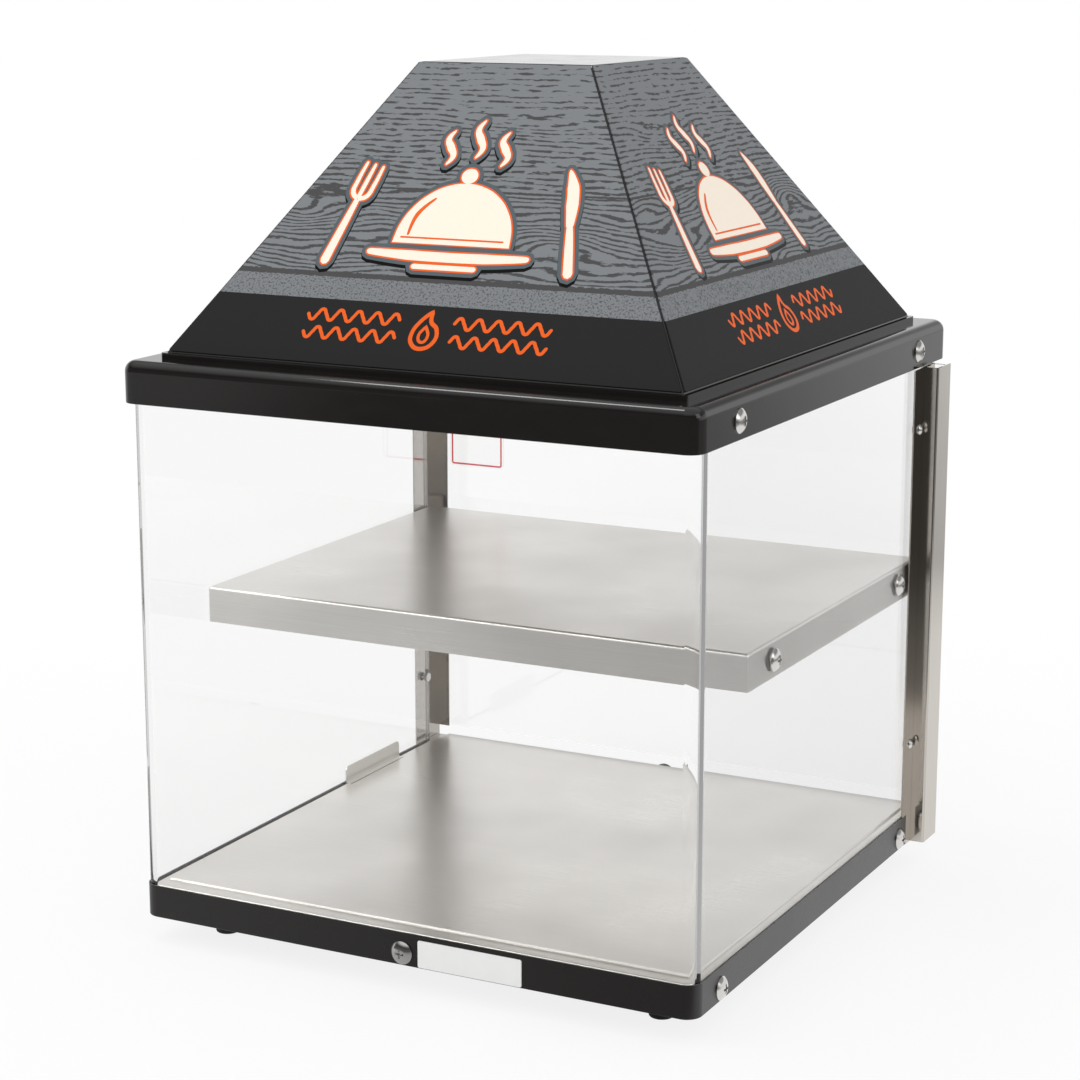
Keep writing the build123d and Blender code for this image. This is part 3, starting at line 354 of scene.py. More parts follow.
# %% [markdown]
# ## The blank label on the door
# A rectangle of clear vinyl film with a red rule round it, its middle left blank. Print on such a
# label can be seen from inside the case, through the door, so the film has to be clear. The rule
# follows the label's round corners, so it is drawn by distance: a smaller rectangle is laid inside
# the label, one corner radius from each edge, and how far a point lies outside it, taken from that
# radius, is how far the point is from the edge. Vinyl has an index of 1.54, but film that is glued
# down reflects at one face only, and this one has two, so its index is set lower.

# %% Label film
LABEL_CORNER = 4.0


def label_film(low, high):
    """Clear film with a red rule near its rounded edge."""
    rule_inset = 1.6
    rule_width = 1.5
    speckle_size = 1.25
    inner = ((high.x - low.x) / 2 / MM - LABEL_CORNER, 0.0, (high.z - low.z) / 2 / MM - LABEL_CORNER)
    to_middle = tuple(-part / MM for part in (low + high) / 2)
    clear = {"Roughness": 0.0, "IOR": 1.35, "Transmission Weight": 1.0}
    material, tree, shader, place = start_finish("printed_clear_vinyl", clear)
    centred = add(tree, "Mapping", {"Vector": place, "Location": to_middle, "Scale": (1 / MM,) * 3})
    size = add(tree, "VectorMath", {0: centred}, operation="ABSOLUTE")
    past = add(tree, "VectorMath", {0: size, 1: inner}, operation="SUBTRACT")
    outside = add(tree, "VectorMath", {0: past, 1: (0.0, 0.0, 0.0)}, operation="MAXIMUM")
    flat = add(tree, "VectorMath", {0: outside, 1: (1.0, 0.0, 1.0)}, operation="MULTIPLY")
    outward = add(tree, "VectorMath", {0: flat}, operation="LENGTH").outputs["Value"]
    from_edge = add(tree, "Math", {0: LABEL_CORNER, 1: outward}, operation="SUBTRACT")
    off_rule = add(tree, "Math", {0: from_edge, 1: rule_inset + rule_width / 2}, operation="SUBTRACT")
    near_rule = add(tree, "Math", {0: off_rule}, operation="ABSOLUTE")
    rule = add(tree, "Math", {0: near_rule, 1: rule_width / 2}, operation="LESS_THAN")
    speckle = add(tree, "TexNoise", {"Vector": centred, "Scale": 1 / speckle_size, "Detail": 2.0})
    film = add(
        tree, "Mix", {0: speckle, 6: linear("#FAF9F8"), 7: linear("#FFFFFF")}, data_type="RGBA"
    )
    colour = add(
        tree, "Mix", {0: rule, 6: film.outputs[2], 7: linear("#C8323C")}, data_type="RGBA"
    )
    fill(shader, {"Base Color": colour.outputs[2]})
    return material


label_vinyl = label_film(*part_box("door_label"))
print("made", label_vinyl.name)

# %% [markdown]
# ## The sign print
# Each slope of the hood carries a printed sheet. Its ground is a two-tone picture of weathered
# boards: a flat dark band along the bottom, a speckled strip of the same board's end, a ragged
# joint, one board with close wavy grain and knots, a thin joint, and an upper board whose grain
# thins out into dashes. The print is flat ink, so it is drawn in the material and has no relief.
#
# The pattern needs two coordinates: across the sheet, and up the slope from its foot. A Mapping node
# makes them for each of the four sheets: it stretches the height by the slope, then turns the
# sheet's own direction to X and the height to Y, all in millimetres.
#
# Grain lines are the contours of a slow landscape: height up the board, plus a gentle noise, plus a
# round hill or hollow at each knot, so the lines run level, bend round the knots and close in them.

# %% Measure the slope
def outer_face(name):
    """Largest face of a part that looks outwards and up."""
    upward = [face for face in nodes[name].data.polygons if face.normal.z > 0.2]
    return max(upward, key=lambda face: face.area)


def sheet_frame(face):
    """Matrix from (across, up the slope, off the sheet) in millimetres to the sheet of one face."""
    largest = outer_face("sign_" + face)
    normal = largest.normal.copy()
    across = Vector((0, 0, 1)).cross(normal).normalized()
    up = normal.cross(across)
    foot = largest.center + up * ((foot_z - largest.center.z) / up.z)
    foot -= across * foot.dot(across)
    axes = Matrix((across, up, normal)).transposed().to_4x4()
    return Matrix.Translation(foot) @ axes @ Matrix.Scale(MM, 4)


foot_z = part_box("sign_front")[0].z
slope_stretch = 1 / sheet_frame("front").to_3x3().normalized().col[1].z
slope_length = (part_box("sign_front")[1].z - foot_z) * slope_stretch / MM
print(f"each sheet runs {slope_length:.0f} mm up its slope")

# %% [markdown]
# Sizes are in millimetres on the sheet. A blotch of noise has a length and a height. The grain
# lines' sway, pitch and breaks have one value for the lower board and one for the upper. Breaks,
# fray and contrast are strengths, and a line is thinner where more is taken from its strength.

# %% Sizes of the board picture
GROUND = "#808386"
GRAIN = "#4F4F50"
BAND = "#2B2B2B"
band_top = 50.5
strip_top = 68.0
joint_low = 70.0
joint_high = 141.0
low_joint_half, low_joint_rough = 2.1, 3.0
high_joint_half, high_joint_rough = 0.9, 1.6

sway_size = (95, 34)
fray_size = (4.0, 0.9)
dash_size = (13.0, 2.6)
dots_per_mm = 0.62
dot_strength = 0.85

line_sway = (34.0, 12.0)
line_pitch = (4.6, 4.4)
line_breaks = (3.0, 6.5)
line_fray = 2.2
line_contrast = 2.5
taken_below, taken_at_top = 1.3, 1.95
print("grain lines are", line_pitch, "mm apart")

# %% Blotches and knots
def blotches(tree, place, size, **noise):
    """Noise whose blotches have a length and a height."""
    laid = add(tree, "Mapping", {"Vector": place, "Scale": (1 / size[0], 1 / size[1], 1.0)})
    return add(tree, "TexNoise", {"Vector": laid, "Scale": 1.0, **noise})


def knot_hills(tree, height, flat, knots):
    """Height with a bell-shaped hill, or a hollow where the hill is negative, at each knot."""
    for across, level, length, rise, hill in knots:
        centred = (-across / length, -level / rise, 0.0)
        shrunk = (1 / length, 1 / rise, 1.0)
        away = add(tree, "Mapping", {"Vector": flat, "Location": centred, "Scale": shrunk})
        distance = add(tree, "VectorMath", {0: away}, operation="LENGTH").outputs["Value"]
        square = add(tree, "Math", {0: distance, 1: 2.0}, operation="POWER")
        fall = add(tree, "Math", {0: square, 1: -1.0}, operation="MULTIPLY")
        bell = add(tree, "Math", {0: fall}, operation="EXPONENT")
        height = add(tree, "Math", {0: bell, 1: hill, 2: height}, operation="MULTIPLY_ADD")
    return height


print("blotches and knots ready")

# %% Board print
def board_print(name, turn, knots):
    """Two-tone weathered boards; a knot is (across, up, half length, half height, hill)."""
    material, tree, shader, place = start_finish(name, {"IOR": 1.46, "Specular IOR Level": 0.05})
    sheet = add(
        tree, "Mapping",
        {
            "Vector": place,
            "Location": (0.0, -foot_z * slope_stretch / MM, 0.0),
            "Rotation": (-pi / 2, -radians(turn), 0.0),
            "Scale": (1 / MM, 1 / MM, slope_stretch / MM),
        },
    )
    up = add(tree, "SeparateXYZ", {0: sheet}).outputs["Y"]
    flat = add(tree, "VectorMath", {0: sheet, 1: (1.0, 1.0, 0.0)}, operation="MULTIPLY")
    # Each sheet reads its own stretch of the noise, so no two have the same grain.
    own = add(tree, "VectorMath", {0: flat, 1: (turn * 3.7, 0.0, turn * 1.3)}, operation="ADD")
    sway = blotches(tree, own, sway_size, Detail=2.0, Roughness=0.45)
    ragged = blotches(tree, own, fray_size, Detail=3.0, Roughness=0.6)
    broken = blotches(tree, own, dash_size, Detail=2.0)

    upper = add(tree, "Math", {0: up, 1: joint_high}, operation="GREATER_THAN")
    swing, pitch, breaking = [
        add(tree, "MapRange", {"Value": upper, "To Min": lower_board, "To Max": upper_board})
        for lower_board, upper_board in (line_sway, line_pitch, line_breaks)
    ]
    height = add(tree, "Math", {0: sway, 1: swing, 2: up}, operation="MULTIPLY_ADD")
    height = knot_hills(tree, height, flat, knots)
    turns = add(tree, "Math", {0: height, 1: pitch}, operation="DIVIDE")
    phase = add(tree, "Math", {0: turns, 1: 2 * pi}, operation="MULTIPLY")
    crest = add(tree, "Math", {0: phase}, operation="SINE")
    frayed = add(tree, "Math", {0: ragged, 1: line_fray, 2: crest}, operation="MULTIPLY_ADD")
    off_middle = add(tree, "Math", {0: broken, 1: 0.5}, operation="SUBTRACT")
    stroked = add(tree, "Math", {0: off_middle, 1: breaking, 2: frayed}, operation="MULTIPLY_ADD")
    upwards = {"Value": up, "From Min": joint_high - 1, "From Max": slope_length}
    fade = add(tree, "MapRange", {**upwards, "To Min": taken_below, "To Max": taken_at_top})
    grain = add(tree, "Math", {0: stroked, 1: fade}, operation="SUBTRACT")
    grain = add(tree, "Math", {0: grain, 1: line_contrast}, operation="MULTIPLY", use_clamp=True)

    joint_lines = []
    for level, half, rough in (
        (joint_low, low_joint_half, low_joint_rough), (joint_high, high_joint_half, high_joint_rough),
    ):
        from_joint = add(tree, "Math", {0: up, 1: level}, operation="SUBTRACT")
        gap = add(tree, "Math", {0: from_joint}, operation="ABSOLUTE")
        torn = {0: ragged, 1: rough, 2: half - rough / 2}
        edge = add(tree, "Math", torn, operation="MULTIPLY_ADD")
        joint_lines.append(add(tree, "Math", {0: gap, 1: edge}, operation="LESS_THAN"))
    joints = add(tree, "Math", {0: joint_lines[0], 1: joint_lines[1]}, operation="MAXIMUM")

    dotted = {"Vector": own, "Scale": dots_per_mm, "Detail": 3.0, "Roughness": 0.7}
    dots = add(tree, "TexNoise", dotted)
    sharp = {"Value": dots, "From Min": 0.53, "From Max": 0.58}
    speckle = add(tree, "MapRange", {**sharp, "To Min": 0.0, "To Max": dot_strength})
    in_strip = add(tree, "Math", {0: up, 1: strip_top}, operation="LESS_THAN")
    boards = add(tree, "Mix", {0: in_strip, 2: grain, 3: speckle})
    dark = add(tree, "Math", {0: boards, 1: joints}, operation="MAXIMUM")
    picture = add(tree, "Mix", {0: dark, 6: linear(GROUND), 7: linear(GRAIN)}, data_type="RGBA")
    in_band = add(tree, "Math", {0: up, 1: band_top}, operation="LESS_THAN")
    colour = add(
        tree, "Mix", {0: in_band, 6: picture.outputs[2], 7: linear(BAND)}, data_type="RGBA"
    )
    satin = add(tree, "MapRange", {"Value": dots, "To Min": 0.36, "To Max": 0.5})
    fill(shader, {"Base Color": colour.outputs[2], "Roughness": satin})
    return material


faces = {"front": 0, "right": 90, "rear": 180, "left": 270}
face_knots = {
    "front": [(-128, 118, 34, 11, 13), (96, 104, 46, 12, -12), (18, 196, 50, 9, 7)],
    "right": [(-104, 100, 40, 12, 13), (118, 122, 34, 10, -12), (-34, 188, 46, 9, 8)],
    "rear": [(-90, 112, 42, 12, -12), (134, 100, 34, 11, 13), (30, 200, 44, 8, 7)],
    "left": [(-132, 106, 38, 11, 12), (84, 124, 44, 12, -12), (-8, 190, 50, 9, 8)],
}
sheet_print = {
    face: board_print("board_print_" + face, turn, face_knots[face]) for face, turn in faces.items()
}
print("printed", len(sheet_print), "sheets")

# %% [markdown]
# ## Put the finishes on the parts
# Every loaded part has one material slot, so a table from finish to parts covers the whole object.
# The sheets of the decks and shelf are brushed along their width and the posts along their height.

# %% Hand out the finishes
finishes = {
    coated_steel: ["base_pan", "rear_panel"],
    gloss_abs: ["lid_shell", "hood_shell"],
    deck_steel: ["lower_deck", "deck_guard", "upper_shelf", "shelf_cover", "lid_ceiling"],
    post_steel: [
        "rear_post_left", "rear_post_right", "wire_channel_left", "wire_channel_right",
        "hinge_leaves_post", "hinge_leaves_door", "door_pull",
    ],
    acrylic: ["clear_enclosure", "door_panel"],
    plated: [
        "foot_screws", "post_screws", "post_nuts", "shelf_screws", "lid_screws", "base_screws",
        "front_screw", "hood_screws", "pull_screws", "hinge_pins", "catch_strike", "thermostat_shaft",
    ],
    rubber: ["foot_front_left", "foot_front_right", "foot_rear_left", "foot_rear_right"],
    black_nylon: [
        "wire_sleeve", "magnet_catch", "switch_housing", "power_rocker", "thermostat_body",
        "thermostat_knob", "cord_gland", "gland_nut",
    ],
    white_nylon: ["terminal_block"],
    engraved_plate: ["name_plate"],
    red_silicone: ["channel_wires"],
    heater_red: ["lower_heater", "upper_heater"],
    blanket: ["lower_insulation", "upper_insulation"],
    label_vinyl: ["door_label"],
}
for face, material in sheet_print.items():
    finishes[material] = ["sign_" + face]
finished = []
for material, names in finishes.items():
    for name in names:
        mesh = nodes[name].data
        mesh.materials.clear()
        mesh.materials.append(material)
        finished.append(name)
print("finished", len(finished), "of", len(nodes), "parts")

# %% [markdown]
# ## Graphics on the sign
# The print over the boards is a plain kitchen emblem: a serving dome on its tray with steam over it,
# between a fork and a knife. It is built up like screen-printed sign work, in four flat inks: a
# black drop shadow, a slate halo, an orange rim and a cream fill. Two rows of heat waves with a
# flame in their middle run along the dark band.
#
# Every shape is a line drawn with a round pen. A curve with a bevel is just such a line, its points
# can have their own widths, and a wider bevel gives the rim and the halo of the same shape with no
# further drawing. The tube that the bevel makes is pressed flat on the sheet. The dome and its knob
# are closed outlines, which the cream ink fills. Each ink lies a few hundredths of a millimetre over
# the last one, as real ink does.

# %% Inks
def ink(name, code):
    """Screen ink: an even colour with the slight mottle of a printed solid."""
    mottle_size = 3 * MM
    thinnest = 0.95
    material, tree, shader, place = start_finish(name, {"IOR": 1.46, "Specular IOR Level": 0.15})
    mottle = add(tree, "TexNoise", {"Vector": place, "Scale": 1 / mottle_size, "Detail": 3.0})
    full = linear(code)
    colour = add(tree, "Mix", {0: mottle, 6: darker(full, thinnest), 7: full}, data_type="RGBA")
    satin = add(tree, "MapRange", {"Value": mottle, "To Min": 0.34, "To Max": 0.46})
    fill(shader, {"Base Color": colour.outputs[2], "Roughness": satin})
    return material


black_ink = ink("ink_black", "#0B0B0B")
slate_ink = ink("ink_slate", "#5A6469")
orange_ink = ink("ink_orange", "#F26522")
cream_ink = ink("ink_cream", "#FFF3E2")
white_ink = ink("ink_white", "#EDEBE7")
print("inks ready")

# %% Round-pen lines
PRESSED = 0.004
INK_STEP = 0.05


def as_mesh(curve):
    """Mesh of a curve, which is used up."""
    drawing = bpy.data.objects.new(curve.name, curve)
    mesh = bpy.data.meshes.new_from_object(drawing)
    bpy.data.objects.remove(drawing)
    bpy.data.curves.remove(curve)
    return mesh


def drawn(points, radii, closed=False, corners=(), filled=False):
    """A smooth line with a pen radius at each point, or the filled outline of a closed one."""
    curve = bpy.data.curves.new("pen_line", "CURVE")
    curve.resolution_u = 6
    if filled:
        curve.dimensions = "2D"
        curve.fill_mode = "BOTH"
        curve.extrude = 4.0
    else:
        curve.dimensions = "3D"
        curve.bevel_depth = 1.0
        curve.bevel_resolution = 1
        curve.use_fill_caps = not closed
    spline = curve.splines.new("BEZIER")
    spline.bezier_points.add(len(points) - 1)
    spline.use_cyclic_u = closed
    for number, knot in enumerate(spline.bezier_points):
        kind = "VECTOR" if number in corners else "AUTO"
        knot.co = (points[number][0], points[number][1], 0.0)
        knot.radius = radii[number]
        knot.handle_left_type = kind
        knot.handle_right_type = kind
    return as_mesh(curve)


def round_ended(points, radii):
    """The same open line with a half-round drawn on at each end."""
    shoulder = 0.7
    tip = 0.05
    line = [Vector(point) for point in points]
    start, end = line[0], line[-1]
    first = (start - line[1]).normalized() * radii[0]
    last = (end - line[-2]).normalized() * radii[-1]
    line = [start + first, start + shoulder * first, *line, end + shoulder * last, end + last]
    radii = [tip * radii[0], shoulder * radii[0], *radii, shoulder * radii[-1], tip * radii[-1]]
    return line, radii


def press(sheet, mesh, shift, lift, ink_number):
    """Press a drawn mesh flat and lay it on the sheet's bmesh at a height, in one ink."""
    old_verts = set(sheet.verts)
    old_faces = set(sheet.faces)
    sheet.from_mesh(mesh)
    bpy.data.meshes.remove(mesh)
    fresh = [vert for vert in sheet.verts if vert not in old_verts]
    bmesh.ops.scale(sheet, vec=(1.0, 1.0, PRESSED), verts=fresh)
    bmesh.ops.translate(sheet, vec=(shift[0], shift[1], lift), verts=fresh)
    for face in sheet.faces:
        if face not in old_faces:
            face.material_index = ink_number
            face.smooth = False


print("pen and press ready")

# %% [markdown]
# The emblem's lines, in millimetres across the sheet and up the slope from the emblem's own foot. An
# open line has a pen radius at each point, so steam and tines taper. A closed outline names which of
# its points are corners.

# %% Draw the emblem
def turned(points, angle, place):
    """Points turned about the origin and moved to a place."""
    turn = Matrix.Rotation(radians(angle), 2)
    return [tuple(turn @ Vector(point) + Vector(place)) for point in points]


dome_half = 47.0
dome_rise = 49.0
dome_foot = 20.0
dome_steps = 10
dome_points = [
    (-dome_half * cos(pi * step / dome_steps), dome_foot + dome_rise * sin(pi * step / dome_steps))
    for step in range(dome_steps + 1)
]
grip_half = 6.5
grip_rise = 6.0
grip_middle = dome_foot + dome_rise + grip_rise
grip_points = [
    (grip_half * cos(pi * step / 4), grip_middle + grip_rise * sin(pi * step / 4)) for step in range(8)
]
outlines = [(dome_points, (0, dome_steps)), (grip_points, ())]

lines = [
    ([(-63, 12), (-30, 10.5), (30, 10.5), (63, 12)], [2.2, 3.8, 3.8, 2.2]),
    ([(-24, 2), (24, 2)], [2.0, 2.0]),
]
for across, foot, tall in ((-22, 84, 27), (0, 90, 30), (22, 84, 27)):
    steam = [(0, 0), (3.6, 0.25 * tall), (0, 0.5 * tall), (-3.6, 0.75 * tall), (0, tall)]
    lines.append(([(across + x, foot + y) for x, y in steam], [0.7, 2.2, 3.0, 2.2, 0.6]))

fork_place = (-88, 44)
knife_place = (88, 44)
lean = 13.0
lines.append((turned([(0, -42), (0, -18), (0, 10)], -lean, fork_place), [3.6, 3.0, 1.9]))
for side in (-1, 1):
    tine = [(0, 9), (side * 6.2, 13), (side * 7.4, 22), (side * 7.2, 38)]
    lines.append((turned(tine, -lean, fork_place), [1.8, 1.9, 1.7, 1.1]))
lines.append((turned([(0, 10), (0, 24), (0, 38)], -lean, fork_place), [1.8, 1.7, 1.1]))
lines.append((turned([(0, -42), (0, -22), (0, -6)], lean, knife_place), [3.6, 3.2, 2.4]))
blade = [(0, -4), (1.2, 12), (1.4, 26), (-1.0, 40)]
lines.append((turned(blade, lean, knife_place), [2.8, 4.6, 4.4, 0.8]))

shine = [([(-36, 27), (-33, 43), (-22, 56)], [0.9, 1.7, 0.8]), ([(-41, 24.5), (41, 24.5)], [0.7, 0.7])]
print("emblem has", len(outlines), "outlines and", len(lines), "lines")

# %% Draw the band
band_middle = 31.0
wave_rise = 4.2
wave_length = 15.0
wave_start = 22.0
wave_count = 5
wave_shift = 7.0
wave_pen = 1.35
flame_pen = 1.6
spark_pen = 1.2
band_lines = []
for side in (-1, 1):
    for middle in (band_middle - wave_shift, band_middle + wave_shift):
        wave = [
            (side * (wave_start + step * wave_length / 4), middle + wave_rise * sin(pi * step / 2))
            for step in range(4 * wave_count + 1)
        ]
        band_lines.append((wave, [wave_pen] * len(wave)))
flame = [(0, -14), (9.5, -8), (9, 2), (3.5, 7), (2.5, 15), (-5, 7), (-9.5, -3), (-8, -10)]
flame = [(x, y + band_middle) for x, y in flame]
spark = [(0, -9), (3.6, -5), (0.4, 3.5), (-3.6, -5)]
spark = [(x, y + band_middle) for x, y in spark]
print("band has", len(band_lines), "waves")

# %% Print the sheets
emblem_foot = 78.0
rim = 1.3
halo = 4.3
shadow_shift = (0.4, -2.6)
emblem_layers = [
    (black_ink, halo, shadow_shift),
    (slate_ink, halo, (0, 0)),
    (orange_ink, rim, (0, 0)),
    (cream_ink, 0, (0, 0)),
]
inks = [layer[0] for layer in emblem_layers]


def new_object(name, shape, materials):
    """Linked object of a bmesh, which is used up."""
    mesh = bpy.data.meshes.new(name)
    shape.to_mesh(mesh)
    shape.free()
    for material in materials:
        mesh.materials.append(material)
    made = bpy.data.objects.new(name, mesh)
    bpy.context.scene.collection.objects.link(made)
    return made


def print_sheet(face):
    """Graphics of one sheet, as thin ink on its face."""
    art = bmesh.new()
    orange = inks.index(orange_ink)
    for number, (_, grow, shift) in enumerate(emblem_layers):
        lift = INK_STEP * (number + 1)
        place = (shift[0], shift[1] + emblem_foot)
        shapes = []
        for points, corners in outlines:
            pen = [grow or 1] * len(points)
            shapes.append(drawn(points, pen, closed=True, corners=corners, filled=not grow))
        for points, radii in lines:
            shapes.append(drawn(*round_ended(points, [radius + grow for radius in radii])))
        # Each stroke lies a trace higher than the one before, so no two share a plane.
        for order, shape in enumerate(shapes):
            press(art, shape, place, lift + 0.1 * INK_STEP * order / len(shapes), number)
    top = INK_STEP * (len(emblem_layers) + 1)
    for points, radii in shine:
        press(art, drawn(*round_ended(points, radii)), (0, emblem_foot), top, orange)
    for points, radii in band_lines:
        press(art, drawn(*round_ended(points, radii)), (0, 0), INK_STEP, orange)
    for points, pen, tip in ((flame, flame_pen, 4), (spark, spark_pen, 2)):
        shape = drawn(points, [pen] * len(points), closed=True, corners=(tip,))
        press(art, shape, (0, 0), INK_STEP, orange)
    art.transform(sheet_frame(face))
    piece = new_object("print_" + face, art, inks)
    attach(piece, "cabinet")
    return piece


for face in faces:
    piece = print_sheet(face)
    print(piece.name, "has", len(piece.data.polygons), "faces")

# %% [markdown]
# ## The blank label, as a piece of film
# On the real door the label is a sheet of film with a layer of glue, so it stands a hair off the
# acrylic. A closed film that touches the acrylic face to face would look black from inside, because
# the light has no gap to come out through. So the film is made here, a twentieth of a millimetre off
# the door: a grid face whose corners are bevelled round, extruded to its thickness.

# %% Label film piece
def label_piece(low, high, glue):
    """Rounded film that stands a glue's thickness off the door."""
    film = bmesh.new()
    bmesh.ops.create_grid(film, x_segments=1, y_segments=1, size=0.5)
    bmesh.ops.scale(film, vec=(high.x - low.x, high.z - low.z, 1.0), verts=film.verts)
    bmesh.ops.bevel(
        film, geom=film.verts[:], offset=LABEL_CORNER * MM, segments=8, profile=0.5,
        affect="VERTICES", material=-1,
    )
    grown = bmesh.ops.extrude_face_region(film, geom=film.faces[:])
    raised = [item for item in grown["geom"] if isinstance(item, bmesh.types.BMVert)]
    bmesh.ops.translate(film, vec=(0.0, 0.0, high.y - low.y - glue), verts=raised)
    bmesh.ops.recalc_face_normals(film, faces=film.faces)
    upright = Matrix.Rotation(-pi / 2, 4, "X")
    middle = Vector(((low.x + high.x) / 2, low.y + glue, (low.z + high.z) / 2))
    film.transform(Matrix.Translation(middle) @ upright)
    piece = new_object("door_label_film", film, [label_vinyl])
    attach(piece, "door")
    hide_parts("door_label")
    return piece


label = label_piece(*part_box("door_label"), 0.05 * MM)
print(label.name, "has", len(label.data.polygons), "faces")

# %% [markdown]
# ## Marks on the controls
# The knob carries the numbers 1 to 5 round its face and the rocker a line for on and a ring for off,
# in white ink. Pad printing lays such marks on a few hundredths of a millimetre thick. A text object
# sets the figures; it is made a mesh first and then stood up on its face, so that it turns with the
# knob.

# %% Printed figures
FIGURE_LIFT = 0.03


def figure(text, size):
    """Mesh of a short text, centred, in millimetres."""
    curve = bpy.data.curves.new("figure", "FONT")
    curve.body = text
    curve.size = size
    curve.align_x = "CENTER"
    curve.align_y = "CENTER"
    curve.extrude = 0.02
    curve.resolution_u = 3
    return as_mesh(curve)


def facing(middle, normal):
    """Matrix from (right, up, out) in millimetres to a face seen from behind the object."""
    right = Vector((0, 0, 1)).cross(normal).normalized()
    axes = Matrix((right, normal.cross(right), normal)).transposed().to_4x4()
    return Matrix.Translation(middle) @ axes @ Matrix.Scale(MM, 4)


def printed(name, body, parts):
    """One piece of white ink from (mesh, matrix) pairs."""
    ink_sheet = bmesh.new()
    for mesh, matrix in parts:
        mesh.transform(matrix)
        ink_sheet.from_mesh(mesh)
        bpy.data.meshes.remove(mesh)
    piece = new_object(name, ink_sheet, [white_ink])
    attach(piece, body)
    return piece


print("figures ready")

# %% Numbers on the knob
knob_low, knob_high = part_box("thermostat_knob")
knob_face = Vector(((knob_low.x + knob_high.x) / 2, knob_high.y, (knob_low.z + knob_high.z) / 2))
dial_figure = 3.2
figure_circle = 6.6
dial_travel = 270
last_number = 5
dial_parts = []
for number in range(1, last_number + 1):
    turn = Matrix.Rotation(-radians(number * dial_travel / last_number), 4, "Z")
    out = Matrix.Translation((0, figure_circle, FIGURE_LIFT))
    matrix = facing(knob_face, Vector((0, 1, 0))) @ turn @ out
    dial_parts.append((figure(str(number), dial_figure), matrix))
dial = printed("dial_numbers", "knob", dial_parts)
print("printed", dial.name)

# %% Line and ring on the rocker
rocker_figure = 2.6
turned_back = 0.6
in_plane = 0.999
rocker_mesh = nodes["power_rocker"].data
rocker_middle = sum(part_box("power_rocker"), Vector()).z / 2
rocker_parts = []
for text, side in (("I", 1), ("O", -1)):
    half = [
        face for face in rocker_mesh.polygons
        if face.normal.y > turned_back and (face.center.z - rocker_middle) * side > 0
    ]
    flat = max(half, key=lambda face: face.area)
    level = [face for face in half if face.normal.dot(flat.normal) > in_plane]
    area = sum(face.area for face in level)
    middle = sum((face.center * face.area for face in level), Vector()) / area
    lift = Matrix.Translation((0, 0, FIGURE_LIFT))
    rocker_parts.append((figure(text, rocker_figure), facing(middle, flat.normal.copy()) @ lift))
rocker_marks = printed("rocker_marks", "rocker", rocker_parts)
print("printed", rocker_marks.name)

# %% [markdown]
# ## Studio
# The object stands on a white floor that runs to the horizon, in a white room. What looks at them
# directly, or through the clear case, sees plain white, while the light that falls on the object
# comes from the same room at a lower strength and from three soft lamps, so that a colour comes out
# about as it is written. The floor mixes its own white with a diffuse surface, which keeps the soft
# shadow under the feet. The case itself mirrors the room as white and the floor as a pale grey, or
# its sheets would veil what stands behind them. A ray that turns often in a polished edge sees both
# darker, which draws the edge.
#
# Black gloss and bright steel look like what stands round them. In a photographer's studio that is
# white cards, and black cloth in front, where the camera is, which keeps black plastic black and
# draws the folds in steel. So these see cards and cloth: in the room one card at the back, brightest
# low down, and one overhead; on the floor a dim card at the left, a brighter one that begins a metre
# in front and fades to the right, and the white table behind the object and at its right side. A
# card is a product of soft edges, and where cards overlap, the brightest shows. All keep their place
# in the room, whichever way the camera looks.

# %% Soft-edged cards
CLOTH = 0.09


def combined(tree, levels, operation):
    """One level from several: their product, or the largest of them."""
    result = levels[0]
    for level in levels[1:]:
        result = add(tree, "Math", {0: result, 1: level}, operation=operation)
    return result


def soft_level(tree, *cards):
    """Brightest of some cards, each a list of edges (value, start, end, level before, level after)."""
    levels = []
    for edges in cards:
        ramps = []
        for value, start, end, before, after in edges:
            edge = {"Value": value, "From Min": start, "From Max": end}
            edge.update({"To Min": before, "To Max": after})
            ramps.append(add(tree, "MapRange", edge, interpolation_type="SMOOTHSTEP"))
        levels.append(combined(tree, ramps, "MULTIPLY"))
    return combined(tree, levels, "MAXIMUM")


print("cloth has a level of", CLOTH)

# %% What a ray is doing
def ray_kinds(tree):
    """Whether a ray looks at the room, whether blurred gloss sent it there, and a level.

    The level is 1 for a ray mirrored at most once, and falls with each further turn.
    """
    path = add(tree, "LightPath").outputs
    sees = add(
        tree, "Math", {0: path["Is Camera Ray"], 1: path["Is Transmission Ray"]}, operation="MAXIMUM"
    )
    looks = add(tree, "Math", {0: sees, 1: path["Is Glossy Ray"]}, operation="MAXIMUM")
    once_or_twice = add(tree, "Math", {0: path["Glossy Depth"], 1: 1.5, 2: 0.6}, operation="COMPARE")
    blurred = add(tree, "Math", {0: 1.0, 1: path["Is Singular Ray"]}, operation="SUBTRACT")
    mirrored = add(tree, "Math", {0: once_or_twice, 1: blurred}, operation="MULTIPLY")
    plain = soft_level(tree, [(path["Glossy Depth"], 1.5, 4.5, 1.0, 0.3)])
    return looks, mirrored, plain


print("ray switches ready")

